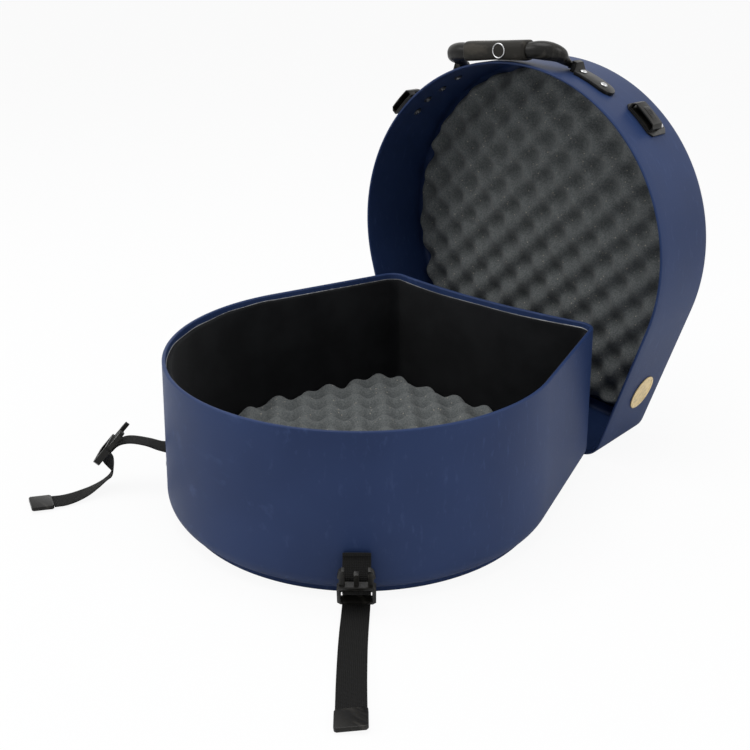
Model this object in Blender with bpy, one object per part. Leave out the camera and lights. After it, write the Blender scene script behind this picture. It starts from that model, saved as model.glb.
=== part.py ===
"""Snare drum case: a deep base shell and a lift-off lid, both teardrop shaped, in moulded plastic.

Metres, +Z up. The origin is the centre of the base's round wall, on the floor. The flat end of
the teardrop faces +Y. The lid is taken off and stands on its own flat end behind the base.
"""

import math

import bmesh
import bpy
import numpy as np
from mathutils import Matrix, Vector

# Teardrop outline at the base's rim, outer side
RIM_RADIUS = 0.2085
FLAT_END_Y = 0.2279
FLAT_HALF_WIDTH = 0.1552
CORNER_RADIUS = 0.020
FLAT_BOW = 0.0115
ROUND_STEPS = 60
CORNER_STEPS = 4
FLAT_STEPS = 6

# Base shell
BASE_HEIGHT = 0.174
BASE_WALL = 0.004
BASE_FLARE = 0.0045
BASE_EDGE_ROUND = 0.022
PANEL_INSET = 0.0145
PANEL_HEIGHT = 0.005

# Lid shell
LID_DEPTH = 0.117
LID_WALL = 0.003
LID_GAP = 0.0023
LID_OVERLAP = 0.010
LID_EDGE_ROUND = 0.010
LID_PANEL_INSET = 0.0125
LID_PANEL_HEIGHT = 0.004
LID_STANDS_AT_Y = 0.2445

# Foam and lining
CLEAR = 0.0003
LINING_THICKNESS = 0.005
LINING_BELOW_RIM = 0.008
LINING_BOTTOM = 0.0275
BASE_FOAM_THICKNESS = 0.042
LID_FOAM_THICKNESS = 0.025
FOAM_WAVE = 0.015
FOAM_PITCH = 0.046
FOAM_EDGE_RISE = 0.002
BASE_FOAM_EDGE_GAP = 0.0015
LID_FOAM_EDGE_GAP = 0.008
FOAM_FLAT_END_GAP = 0.022
FOAM_SEAT_GAP = 0.001

# Webbing straps on the base, and the buckle halves that meet them on the lid
WEBBING_WIDTH = 0.0265
HOLE_REACH = 0.012
WEBBING_THICKNESS = 0.0016
FRONT_STRAP_ANGLE = 41.5
SIDE_STRAP_ANGLE = -49.0
ANCHOR_BOTTOM = 0.022
ANCHOR_TOP = 0.0505
ANCHOR_RIVET_HEIGHT = 0.036
ANCHOR_RIVET_SPACING = 0.015
STRAP_PIVOT_HEIGHT = 0.0512
TIP_LENGTH = 0.024
TIP_WIDTH = 0.0280
TIP_THICKNESS = 0.0046

# Points of each strap's middle line, before and after its buckle: out from the wall, across, up,
# the turn of its heading and the roll about it, in degrees
FRONT_LEAVES_DOWN = 60.0
FRONT_ROUTE = (
    (0.0060, 0.0000, 0.0490, 0.0, 0.0),
    (0.0112, 0.0000, 0.0454, 0.0, 0.0),
    (0.0162, 0.0000, 0.0418, 0.0, 0.0),
    (0.0193, 0.0000, 0.0385, 0.0, 0.0),
)
FRONT_TAIL = (
    (0.0092, -0.0002, 0.0098, 0.0, 0.0),
    (0.0084, -0.0004, 0.0055, 0.0, 0.0),
    (0.0102, -0.0006, 0.0022, 0.0, 0.0),
    (0.0165, -0.0008, 0.0013, -1.0, 0.0),
    (0.0300, -0.0012, 0.0015, -2.0, 1.0),
    (0.0500, -0.0018, 0.0019, -1.0, 2.0),
    (0.0750, -0.0022, 0.0024, 0.0, 4.0),
    (0.1000, -0.0022, 0.0029, 0.0, 5.0),
    (0.1250, -0.0020, 0.0033, 1.0, 6.0),
    (0.1545, -0.0014, 0.0040, 1.0, 6.0),
)
SIDE_LEAVES_DOWN = 0.0
SIDE_ROUTE = (
    (0.0120, 0.0000, 0.0540, 0.0, 5.0),
    (0.0240, 0.0000, 0.0580, 0.0, 8.0),
    (0.0385, 0.0000, 0.0607, 0.0, 8.0),
    (0.0490, 0.0000, 0.0603, 0.0, 5.0),
    (0.0562, 0.0000, 0.0574, 0.0, 2.0),
)
SIDE_TAIL = (
    (0.0682, 0.0000, 0.0330, 3.0, 0.0),
    (0.0662, 0.0000, 0.0272, 11.0, 0.0),
    (0.0676, 0.0003, 0.0208, 14.0, 4.0),
    (0.0719, 0.0016, 0.0148, 19.0, 16.0),
    (0.0783, 0.0050, 0.0100, 30.0, 22.0),
    (0.0862, 0.0112, 0.0066, 40.0, 20.0),
    (0.0948, 0.0190, 0.0042, 41.0, 12.0),
    (0.1042, 0.0265, 0.0026, 36.0, 6.0),
    (0.1145, 0.0330, 0.0020, 29.0, 2.0),
    (0.1250, 0.0382, 0.0030, 26.0, 1.0),
)

# Male buckle halves: length from the webbing end to the prongs' tips, and the weave of the webbing
MALE_LENGTH = 0.049
MALE_FRAME_LENGTH = 0.026
MALE_HALF_WIDTH = 0.018
MALE_BACK = -0.0012
MALE_FRONT = 0.0040
MALE_FRAME_FRONT = 0.0062
MALE_BAR = 0.004
MALE_MIDDLE_BAR = (0.0113, 0.0135)
MALE_MIDDLE_BAR_FRONT = 0.0004
MALE_RAIL = 0.0034
MALE_CORNER = 0.003
MALE_PRONG_INSET = 0.0022
MALE_PRONG_WIDTH = 0.0052
MALE_BARB_AT = 0.011
MALE_BARB = 0.0016
MALE_GUIDE_HALF_WIDTH = 0.0022
WEAVE = (
    (0.0240, -0.0027),
    (0.0205, -0.0021),
    (0.0170, 0.0002),
    (0.0138, 0.0016),
    (0.0112, 0.0016),
    (0.0080, 0.0002),
)
FRONT_WEAVE_END = ((0.0050, -0.0022), (0.0022, -0.0028))
SIDE_WEAVE_END = ((0.0066, -0.0026), (0.0056, -0.0052))
FRONT_MALE_AT = (0.0133, 0.0000, 0.0112)
FRONT_MALE_TILT = 68.0
SIDE_MALE_AT = (0.0786, 0.0000, 0.0365)
SIDE_MALE_TILT = 130.0

# Female buckle halves on the lid's wall
FRONT_BUCKLE_ANGLE = 42.2
FRONT_BUCKLE_MOUTH = 0.045
SIDE_BUCKLE_GAP = 0.0014
SIDE_BUCKLE_MOUTH = 0.001
BUCKLE_WIDTH = 0.036
BUCKLE_LENGTH = 0.027
BUCKLE_HEIGHT = 0.0095
BUCKLE_WALL = 0.0016
BUCKLE_CHAMFER = 0.0035
BUCKLE_TAPER_LENGTH = 0.007
BUCKLE_END_TAPER = 0.8
BUCKLE_END_DROP = 0.004
BUCKLE_WINDOW = (0.009, 0.018)
FRONT_BUCKLE_PLATE_WIDTH = 0.046
SIDE_BUCKLE_PLATE_WIDTH = 0.037
BUCKLE_PLATE_LENGTH = 0.039
BUCKLE_PLATE_THICKNESS = 0.002
BUCKLE_PLATE_CORNER = 0.006
BUCKLE_RIVET_AT = 0.0328
BUCKLE_RIVET_SPACING = 0.024

# Carrying handle on the top of the standing lid
HANDLE_ANGLE = -4.4
HANDLE_DEPTH = 0.041
HANDLE_PIVOT_UP = -0.0072
HANDLE_PIN_RADIUS = 0.0022
HANDLE_LOBE_RADIUS = 0.004
HANDLE_LOBE = (0.0706, 0.0756)
HANDLE_PIN_END = 0.0815
# Right half of the handle's middle line: across, deeper, up, and its half width and half height
HANDLE_HALF = (
    (0.0000, -0.0360, 0.0117, 0.0085, 0.0070),
    (0.0300, -0.0360, 0.0112, 0.0088, 0.0075),
    (0.0430, -0.0354, 0.0110, 0.0096, 0.0088),
    (0.0545, -0.0336, 0.0108, 0.0106, 0.0100),
    (0.0652, -0.0288, 0.0088, 0.0108, 0.0100),
    (0.0712, -0.0208, 0.0048, 0.0088, 0.0084),
    (0.0714, -0.0112, -0.0008, 0.0056, 0.0058),
    (0.0724, -0.0032, -0.0055, 0.0036, 0.0038),
    (0.0728, -0.0002, -0.0073, 0.0028, 0.0028),
)
GRIP_HALF_LENGTH = 0.042
GRIP_HEIGHT = 0.0215
GRIP_DEPTH = 0.025
GRIP_ROUND = 0.0065
MEDALLION_AT = 0.0095
MEDALLION_RADIUS = 0.0085
MEDALLION_THICKNESS = 0.0016
EAR_FROM = 0.0772
EAR_TO = 0.0826
EAR_HEIGHT = 0.0122
EAR_SLOPE_TO = 0.0858
EAR_WIDTH = 0.014
PLATE_TO = 0.1335
PLATE_WIDTH = 0.023
PLATE_THICKNESS = 0.0038
PLATE_RIVETS_AT = (0.0902, 0.1190)

# Round badge on the lid's right side
BADGE_RADIUS = 0.0218
BADGE_THICKNESS = 0.0015
BADGE_HEIGHT = 0.0745
BADGE_DEPTH = 0.059

# Blind rivets and their backing washers
RIVET_HEAD_RADIUS = 0.0042
RIVET_HEAD_HEIGHT = 0.0018
RIVET_SHANK_RADIUS = 0.002
RIVET_TAIL_RADIUS = 0.0032
RIVET_TAIL_HEIGHT = 0.0013
WASHER_RADIUS = 0.0052
WASHER_THICKNESS = 0.0011
WASHER_SEAT_GAP = 0.0005
ROUND_SIDES = 12

# Worked-out sizes
LID_OUTSET = LID_GAP + LID_WALL
LID_RADIUS = RIM_RADIUS + LID_OUTSET
SIDE_BUCKLE_REACH = PLATE_TO + SIDE_BUCKLE_GAP + SIDE_BUCKLE_PLATE_WIDTH / 2
SIDE_BUCKLE_ANGLE = HANDLE_ANGLE - math.degrees(SIDE_BUCKLE_REACH / LID_RADIUS)
LID_CENTRE_Z = FLAT_END_Y + LID_OUTSET
CLOSED_RIM_Z = BASE_HEIGHT - LID_OVERLAP
LID_PIVOT_Y = (LID_CENTRE_Z - CLOSED_RIM_Z + LID_STANDS_AT_Y) / 2
LID_PIVOT_Z = (LID_CENTRE_Z + CLOSED_RIM_Z - LID_STANDS_AT_Y) / 2

FINISHES = {
    "shell": ((0.042, 0.062, 0.140), 0.55, 0.0),
    "lining": ((0.008, 0.009, 0.010), 0.95, 0.0),
    "foam": ((0.075, 0.085, 0.085), 0.98, 0.0),
    "webbing": ((0.010, 0.010, 0.009), 0.85, 0.0),
    "black_plastic": ((0.014, 0.013, 0.011), 0.42, 0.0),
    "rubber": ((0.018, 0.017, 0.014), 0.60, 0.0),
    "steel": ((0.55, 0.55, 0.56), 0.32, 1.0),
    "badge": ((0.80, 0.62, 0.30), 0.35, 0.0),
}


def clear_scene():
    for obj in list(bpy.data.objects):
        bpy.data.objects.remove(obj, do_unlink=True)


def finish(name, kind):
    """A material of this piece's own, with the colour, roughness and metal of its kind."""
    colour, roughness, metallic = FINISHES[kind]
    material = bpy.data.materials.new(name + "_finish")
    material.use_nodes = True
    shader = material.node_tree.nodes["Principled BSDF"]
    shader.inputs["Base Color"].default_value = (*colour, 1.0)
    shader.inputs["Roughness"].default_value = roughness
    shader.inputs["Metallic"].default_value = metallic
    return material


def piece(name, kind, points, faces):
    """One named object from points and faces, with its normals turned outwards."""
    mesh = bpy.data.meshes.new(name)
    mesh.from_pydata([tuple(map(float, p)) for p in points], [], faces)
    edit = bmesh.new()
    edit.from_mesh(mesh)
    bmesh.ops.recalc_face_normals(edit, faces=edit.faces)
    edit.to_mesh(mesh)
    edit.free()
    mesh.shade_smooth()
    mesh.set_sharp_from_angle(angle=math.radians(35))
    obj = bpy.data.objects.new(name, mesh)
    bpy.context.scene.collection.objects.link(obj)
    if kind:
        mesh.materials.append(finish(name, kind))
    else:
        obj.hide_render = True
        obj.display_type = "WIRE"
    return obj


def cut(obj, cutter, operation="DIFFERENCE"):
    modifier = obj.modifiers.new(cutter.name, "BOOLEAN")
    modifier.operation = operation
    modifier.object = cutter
    modifier.solver = "EXACT"


def hold(obj, axis_empty):
    """Parents a piece to the empty on its joint's axis, leaving it where it is."""
    obj.parent = axis_empty
    obj.matrix_parent_inverse = axis_empty.matrix_world.inverted()


def joint_empty(name, place):
    empty = bpy.data.objects.new(name, None)
    empty.location = place
    bpy.context.scene.collection.objects.link(empty)
    bpy.context.view_layer.update()
    return empty


def teardrop(offset=0.0):
    """The teardrop outline, moved outwards by offset along its own normals.

    A large round end, two straight sides that touch it, two small corners, and a flat end that
    bows inwards along a parabola. Points run anticlockwise from the left side's touching point.
    """
    cx = FLAT_HALF_WIDTH - CORNER_RADIUS
    cy = FLAT_END_Y - CORNER_RADIUS
    touch = math.atan2(cy, cx) - math.acos((RIM_RADIUS - CORNER_RADIUS) / math.hypot(cx, cy))
    lean = math.atan2(2 * FLAT_BOW, cx)
    round_end = np.linspace(math.pi - touch, 2 * math.pi + touch, ROUND_STEPS + 1)
    corner = np.linspace(touch, math.pi / 2 + lean, CORNER_STEPS + 1)

    def on_circle(centre, radius, angles):
        normals = np.stack([np.cos(angles), np.sin(angles)], axis=1)
        return np.array(centre) + radius * normals, normals

    big, big_normals = on_circle((0, 0), RIM_RADIUS, round_end)
    right, right_normals = on_circle((cx, cy), CORNER_RADIUS, corner)
    left, left_normals = right[::-1] * (-1, 1), right_normals[::-1] * (-1, 1)
    end_x, end_y = right[-1]
    xs = np.linspace(end_x, -end_x, FLAT_STEPS + 1)[1:-1]
    flat = np.stack([xs, end_y - FLAT_BOW * (1 - (xs / end_x) ** 2)], axis=1)
    slope = 2 * FLAT_BOW * xs / end_x**2
    flat_normals = np.stack([-slope, np.ones_like(xs)], axis=1)
    flat_normals /= np.linalg.norm(flat_normals, axis=1)[:, None]
    points = np.concatenate([big, right, flat, left])
    normals = np.concatenate([big_normals, right_normals, flat_normals, left_normals])
    return points + offset * normals


def arc(centre, radius, start, end, steps):
    """Section points on an arc: degrees from straight down, turning outwards."""
    angles = np.radians(np.linspace(start, end, steps))
    return [(centre[0] + radius * math.sin(a), centre[1] - radius * math.cos(a)) for a in angles]


def loft(name, kind, section, place, closed=False):
    """A solid whose teardrop rings follow a section of (offset, height) pairs.

    place turns a ring's x, y and height into a point of the model. An open section is capped at
    both ends, and a closed one joins its last ring to its first.
    """
    rings = [place(teardrop(offset), height) for offset, height in section]
    count = len(rings[0])
    points = np.concatenate(rings)
    faces = []
    pairs = list(zip(range(len(rings) - 1), range(1, len(rings))))
    if closed:
        pairs.append((len(rings) - 1, 0))
    for a, b in pairs:
        for i in range(count):
            j = (i + 1) % count
            faces.append((a * count + i, a * count + j, b * count + j, b * count + i))
    if not closed:
        faces.append(tuple(range(count))[::-1])
        faces.append(tuple(range((len(rings) - 1) * count, len(rings) * count)))
    return piece(name, kind, points, faces)


def upright(ring, height):
    """Places a ring as the base has it, at this height over the floor."""
    return np.column_stack([ring, np.full(len(ring), height)])


def standing(ring, depth):
    """Places a ring as the standing lid has it, this deep behind the plane of its rim."""
    depths = np.full(len(ring), LID_STANDS_AT_Y + depth)
    return np.column_stack([ring[:, 0], depths, LID_CENTRE_Z - ring[:, 1]])


def shell_section(rim, flare, height, wall, edge_round, panel_inset, panel_height):
    """Section of an open shell, from the middle of its closed face out, up and back inside.

    Heights start at the closed face. rim is the outset of the outer wall at the rim.
    """
    outer = rim + flare
    hub = (outer - edge_round, panel_height + edge_round)
    panel = outer - panel_inset
    section = [(panel - wall / 3, 0.0), (panel, wall / 3)]
    section += edge_arc(hub, edge_round, panel)
    section += [(rim, height - wall / 2), (rim - wall / 2, height), (rim - wall, height - wall / 2)]
    section += edge_arc(hub, edge_round - wall, panel - wall)[::-1]
    section += [(panel - wall, wall)]
    return section


def edge_arc(hub, radius, panel):
    """Round from the raised panel's foot up to the wall, with a ledge where the round starts late."""
    if panel < hub[0]:
        return [(panel, hub[1] - radius)] + arc(hub, radius, 0, 90, 5)
    return arc(hub, radius, math.degrees(math.asin((panel - hub[0]) / radius)), 90, 5)


BASE_SECTION = shell_section(
    0.0, BASE_FLARE, BASE_HEIGHT, BASE_WALL, BASE_EDGE_ROUND, PANEL_INSET, PANEL_HEIGHT
)
LID_SECTION = [
    (offset, LID_DEPTH - height)
    for offset, height in shell_section(
        LID_OUTSET, 0.0, LID_DEPTH, LID_WALL, LID_EDGE_ROUND, LID_PANEL_INSET, LID_PANEL_HEIGHT
    )
]


def base_outset(height):
    """How far the base's outer wall stands out past the rim's outline at this height."""
    hub_height = PANEL_HEIGHT + BASE_EDGE_ROUND
    if height < hub_height:
        drop = hub_height - height
        return BASE_FLARE - BASE_EDGE_ROUND + math.sqrt(BASE_EDGE_ROUND**2 - drop**2)
    top = BASE_HEIGHT - BASE_WALL / 2
    return BASE_FLARE * (top - height) / (top - hub_height)


def base_frame(angle, height):
    """Frame on the base's round wall: X across, Y up, Z out. The angle is from -Y towards +X."""
    turn = math.radians(angle)
    out = Vector((math.sin(turn), -math.cos(turn), 0))
    across = Vector((math.cos(turn), math.sin(turn), 0))
    place = out * (RIM_RADIUS + base_outset(height)) + Vector((0, 0, height))
    return frame_matrix(across, Vector((0, 0, 1)), out, place)


def lid_frame(angle, depth):
    """Frame on the lid's round wall: X across, Y deeper, Z out. The angle is from the top."""
    turn = math.radians(angle)
    out = Vector((math.sin(turn), 0, math.cos(turn)))
    across = Vector((math.cos(turn), 0, -math.sin(turn)))
    place = Vector((0, LID_STANDS_AT_Y + depth, LID_CENTRE_Z)) + out * LID_RADIUS
    return frame_matrix(across, Vector((0, 1, 0)), out, place)


def frame_matrix(x_axis, y_axis, z_axis, place):
    matrix = Matrix((x_axis, y_axis, z_axis)).transposed().to_4x4()
    matrix.translation = place
    return matrix


def on_lid_wall(points, angle):
    """Bends (across, depth, height) points round the lid's wall, from this angle off its top."""
    points = np.asarray(points, float)
    turn = math.radians(angle) + points[:, 0] / LID_RADIUS
    reach = LID_RADIUS + points[:, 2]
    depths = LID_STANDS_AT_Y + points[:, 1]
    return np.column_stack([reach * np.sin(turn), depths, LID_CENTRE_Z + reach * np.cos(turn)])


def moved(points, matrix):
    return [matrix @ Vector(p) for p in points]


def prism(outline, low, high):
    """Points and faces of a flat outline between two heights."""
    count = len(outline)
    points = [(x, y, low) for x, y in outline] + [(x, y, high) for x, y in outline]
    faces = [tuple(range(count))[::-1], tuple(range(count, 2 * count))]
    faces += [(i, (i + 1) % count, count + (i + 1) % count, count + i) for i in range(count)]
    return points, faces


def rounded_box(x0, x1, y0, y1, radius, steps=3):
    """Outline of a rectangle with round corners."""
    outline = []
    for cx, cy, start in (
        (x1 - radius, y1 - radius, 0),
        (x0 + radius, y1 - radius, 90),
        (x0 + radius, y0 + radius, 180),
        (x1 - radius, y0 + radius, 270),
    ):
        for angle in np.radians(np.linspace(start, start + 90, steps)):
            outline.append((cx + radius * math.cos(angle), cy + radius * math.sin(angle)))
    return outline


def sliced_plate(outline_at, stations, low, high):
    """A plate made of cross strips, so that it can bend: outline_at gives half its width."""
    points, faces = [], []
    for x in stations:
        half = outline_at(x)
        points += [(x, -half, low), (x, half, low), (x, half, high(x)), (x, -half, high(x))]
    for k in range(len(stations) - 1):
        a, b = 4 * k, 4 * k + 4
        faces += [(a + i, a + (i + 1) % 4, b + (i + 1) % 4, b + i) for i in range(4)]
    last = 4 * (len(stations) - 1)
    faces += [(3, 2, 1, 0), (last, last + 1, last + 2, last + 3)]
    return points, faces


def turned(section, matrix, sides=ROUND_SIDES):
    """A solid turned about the frame's Z axis from (radius, height) pairs, on the axis at both ends."""
    points = [(0, 0, section[0][1])]
    for radius, height in section[1:-1]:
        for k in range(sides):
            angle = 2 * math.pi * k / sides
            points.append((radius * math.cos(angle), radius * math.sin(angle), height))
    points.append((0, 0, section[-1][1]))
    last = len(points) - 1
    rings = len(section) - 2
    faces = []
    for k in range(sides):
        j = (k + 1) % sides
        faces.append((0, 1 + k, 1 + j))
        faces.append((last, last - sides + j, last - sides + k))
        for r in range(rings - 1):
            a, b = 1 + r * sides, 1 + (r + 1) * sides
            faces.append((a + k, b + k, b + j, a + j))
    return moved(points, matrix), faces


def ring_solid(inner, outer, low, high, matrix, sides=ROUND_SIDES):
    """A flat ring about the frame's Z axis."""
    points, faces = [], []
    for radius, height in ((inner, low), (outer, low), (outer, high), (inner, high)):
        for k in range(sides):
            angle = 2 * math.pi * k / sides
            points.append((radius * math.cos(angle), radius * math.sin(angle), height))
    for r in range(4):
        a, b = r * sides, (r + 1) % 4 * sides
        for k in range(sides):
            j = (k + 1) % sides
            faces.append((a + k, b + k, b + j, a + j))
    return moved(points, matrix), faces


def swept(path, ups, sections, name, kind):
    """A solid along a path: each section's (side, up) pairs lie square to the path."""
    path = np.asarray(path, float)
    tangents = np.gradient(path, axis=0)
    tangents /= np.linalg.norm(tangents, axis=1)[:, None]
    count = len(sections[0])
    points, faces = [], []
    for place, along, up, section in zip(path, tangents, ups, sections):
        side = np.cross(along, up)
        side /= np.linalg.norm(side)
        top = np.cross(side, along)
        points += [place + side * a + top * b for a, b in section]
    for k in range(len(path) - 1):
        a, b = k * count, (k + 1) * count
        for i in range(count):
            j = (i + 1) % count
            faces.append((a + i, a + j, b + j, b + i))
    last = (len(path) - 1) * count
    faces += [tuple(range(count))[::-1], tuple(range(last, last + count))]
    return piece(name, kind, points, faces)


def smooth_curve(points, steps):
    """Catmull-Rom curve through the points, with this many steps in each span."""
    points = np.asarray(points, float)
    padded = np.vstack([2 * points[0] - points[1], points, 2 * points[-1] - points[-2]])
    out = []
    for k in range(len(points) - 1):
        p0, p1, p2, p3 = padded[k : k + 4]
        for t in np.arange(steps) / steps:
            out.append(
                0.5
                * (
                    2 * p1
                    + (p2 - p0) * t
                    + (2 * p0 - 5 * p1 + 4 * p2 - p3) * t**2
                    + (3 * p1 - p0 - 3 * p2 + p3) * t**3
                )
            )
    out.append(points[-1])
    return np.array(out)


def make_base():
    shell = loft("base_shell", "shell", BASE_SECTION, upright)
    inner = -BASE_WALL - CLEAR
    top = BASE_HEIGHT - LINING_BELOW_RIM
    low_out, high_out = base_outset(LINING_BOTTOM), base_outset(top)
    section = [
        (inner + low_out, LINING_BOTTOM),
        (inner + high_out, top),
        (inner + high_out - LINING_THICKNESS, top),
        (inner + low_out - LINING_THICKNESS, LINING_BOTTOM),
    ]
    lining = loft("base_wall_lining", "lining", section, upright, closed=True)
    return shell, lining


def foam_hollows(name, place, top, wave, past):
    """Cutter over the foam: its near face waves as a product of two cosines, the egg-crate form.

    Its points lie on a diagonal lattice of peaks, hollows and the level places between them.
    Heights run from top, at the peaks, to top - wave in the hollows. past is how far the cutter
    reaches beyond the peaks, on the side away from the foam.
    """
    step = FOAM_PITCH / 4
    half_pitch = FOAM_PITCH / 2
    reach = math.ceil((FLAT_END_Y + FOAM_PITCH) / (step * math.sqrt(2)))
    count = 2 * reach
    along, across = (grid.ravel() for grid in np.meshgrid(*[np.arange(-reach, reach + 1)] * 2))
    x, y = (along - across) * step, (along + across) * step
    bump = np.cos(math.pi * x / half_pitch) * np.cos(math.pi * y / half_pitch)
    flat = np.column_stack([x, y])
    level = place(flat, 0.0)
    rise = place(flat[:1], 1.0) - level[:1]
    near = level + rise * (top - wave * (1 - bump) / 2)[:, None]
    side = count + 1
    faces = []
    for row in range(count):
        for column in range(count):
            a = row * side + column
            b, c, d = a + 1, a + side + 1, a + side
            rising = (row + column) % 2
            faces += [(a, b, c), (a, c, d)] if rising else [(a, b, d), (b, c, d)]
    border = list(range(count)) + [k * side + count for k in range(count)]
    border += [count * side + k for k in range(count, 0, -1)] + [k * side for k in range(count, 0, -1)]
    far = level[border] + rise * (top + past)
    rim = [len(near) + k for k in range(len(border))]
    for k in range(len(border)):
        j = (k + 1) % len(border)
        faces.append((border[k], border[j], rim[j], rim[k]))
    faces.append(tuple(rim))
    return piece(name, None, np.concatenate([near, far]), faces)


def flat_end_cutter(name, place, low, high):
    """Cutter that trims a foam pad short of the shell's flat end."""
    wide = 2 * RIM_RADIUS
    near, far = FLAT_END_Y - FOAM_FLAT_END_GAP, FLAT_END_Y + FOAM_PITCH
    outline = np.array([(-wide, near), (wide, near), (wide, far), (-wide, far)])
    points = np.concatenate([place(outline, low), place(outline, high)])
    faces = [(3, 2, 1, 0), (4, 5, 6, 7)] + [(i, (i + 1) % 4, 4 + (i + 1) % 4, 4 + i) for i in range(4)]
    return piece(name, None, points, faces)


def make_base_foam():
    floor = BASE_WALL + CLEAR
    foot = BASE_FLARE - PANEL_INSET - BASE_WALL - CLEAR
    edge = -BASE_WALL - CLEAR - LINING_THICKNESS - BASE_FOAM_EDGE_GAP
    round_centre = BASE_FLARE - BASE_EDGE_ROUND
    inner_round = BASE_EDGE_ROUND - BASE_WALL
    foot_rise = PANEL_HEIGHT + BASE_EDGE_ROUND - inner_round + FOAM_SEAT_GAP
    edge_rise = foot_rise + inner_round - math.sqrt(inner_round**2 - (edge - round_centre) ** 2)
    top = BASE_WALL + BASE_FOAM_THICKNESS
    section = [(foot, floor), (foot, foot_rise), (edge, edge_rise), (edge, top + FOAM_EDGE_RISE)]
    pad = loft("base_foam_pad", "foam", section, upright)
    cut(pad, foam_hollows("base_foam_hollows", upright, top, FOAM_WAVE, FOAM_PITCH))
    cut(pad, flat_end_cutter("base_foam_end", upright, 0.0, top + FOAM_PITCH))
    return pad


def make_lid():
    shell = loft("lid_shell", "shell", LID_SECTION, standing)
    back = LID_DEPTH - LID_WALL - CLEAR
    foot = LID_OUTSET - LID_PANEL_INSET - LID_WALL - CLEAR
    edge = LID_OUTSET - LID_WALL - LID_FOAM_EDGE_GAP
    ledge = back - LID_PANEL_HEIGHT
    front = LID_DEPTH - LID_WALL - LID_FOAM_THICKNESS
    section = [(foot, back), (foot, ledge), (edge, ledge), (edge, front - FOAM_EDGE_RISE)]
    pad = loft("lid_foam_pad", "foam", section, standing)
    cut(pad, foam_hollows("lid_foam_hollows", standing, front, -FOAM_WAVE, -FOAM_PITCH))
    cut(pad, flat_end_cutter("lid_foam_end", standing, front - FOAM_PITCH, LID_DEPTH))
    return shell, pad


def make_rivet(name, matrix, head_at, washer_at):
    """A rivet along the frame's Z: head outside at head_at, washer and formed tail inside."""
    shank, head, tail = RIVET_SHANK_RADIUS, RIVET_HEAD_RADIUS, RIVET_TAIL_RADIUS
    tail_top = washer_at - WASHER_THICKNESS - CLEAR
    section = [
        (0, tail_top - RIVET_TAIL_HEIGHT),
        (tail, tail_top - RIVET_TAIL_HEIGHT),
        (tail, tail_top),
        (shank, tail_top),
        (shank, head_at),
        (head, head_at),
        (head * 0.8, head_at + RIVET_HEAD_HEIGHT * 0.65),
        (0, head_at + RIVET_HEAD_HEIGHT),
    ]
    rivet = piece(name, "steel", *turned(section, matrix))
    ring = ring_solid(shank + CLEAR, WASHER_RADIUS, washer_at - WASHER_THICKNESS, washer_at, matrix)
    washer = piece(name + "_washer", "steel", *ring)
    return rivet, washer


def hole_cutter(name, matrices, low, high, radius=RIVET_SHANK_RADIUS + CLEAR):
    """One cutter that holds a round hole for each rivet of a set."""
    points, faces = [], []
    for matrix in matrices:
        section = [(0, low), (radius, low), (radius, high), (0, high)]
        more, sides = turned(section, matrix)
        faces += [tuple(k + len(points) for k in face) for face in sides]
        points += more
    return piece(name, None, points, faces)


def make_anchor(side, angle):
    """The riveted end of a strap, flat on the base's wall, with its two rivets."""
    rows = np.linspace(ANCHOR_BOTTOM, ANCHOR_TOP, 7)
    frames = [base_frame(angle, height) for height in rows]
    middle = CLEAR + WEBBING_THICKNESS / 2
    path = [frame @ Vector((0, 0, middle)) for frame in frames]
    ups = [frame.to_3x3() @ Vector((0, 0, 1)) for frame in frames]
    drop = RIM_RADIUS - math.sqrt(RIM_RADIUS**2 - (WEBBING_WIDTH / 2) ** 2)
    half, thin = WEBBING_WIDTH / 2, WEBBING_THICKNESS / 2
    section = [(-half, -thin - drop), (0, -thin), (half, -thin - drop)]
    section += [(half, thin - drop), (0, thin), (-half, thin - drop)]
    tab = swept(path, ups, [section] * len(path), side + "_strap_anchor", "webbing")
    across = math.degrees(ANCHOR_RIVET_SPACING / 2 / (RIM_RADIUS + BASE_FLARE))
    spots = [base_frame(angle + turn, ANCHOR_RIVET_HEIGHT) for turn in (-across, across)]
    holes = hole_cutter(side + "_anchor_holes", spots, -HOLE_REACH, HOLE_REACH)
    cut(tab, holes)
    washer_at = -BASE_WALL - WASHER_SEAT_GAP
    for letter, matrix in zip("ab", spots):
        make_rivet(f"{side}_anchor_rivet_{letter}", matrix, WEBBING_THICKNESS + 2 * CLEAR, washer_at)
    tail = washer_at - WASHER_THICKNESS - RIVET_TAIL_HEIGHT - 2 * CLEAR
    pockets = hole_cutter(side + "_lining_pockets", spots, tail, -BASE_WALL + CLEAR, WASHER_RADIUS + CLEAR)
    return holes, pockets


def strap_matrix(angle):
    """Frame of a strap: X out from the wall near its anchor, Y across, Z up from the floor."""
    turn = math.radians(angle)
    out = Vector((math.sin(turn), -math.cos(turn), 0))
    across = Vector((math.cos(turn), math.sin(turn), 0))
    wall = RIM_RADIUS + base_outset(STRAP_PIVOT_HEIGHT)
    return frame_matrix(out, across, Vector((0, 0, 1)), out * wall)


def strap_pivot(leaves_down):
    """The upper edge of a strap's first end, about which it swings clear of its anchor."""
    lean = math.radians(leaves_down)
    return WEBBING_THICKNESS * (1 + math.sin(lean)) + 2 * CLEAR, STRAP_PIVOT_HEIGHT


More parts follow.
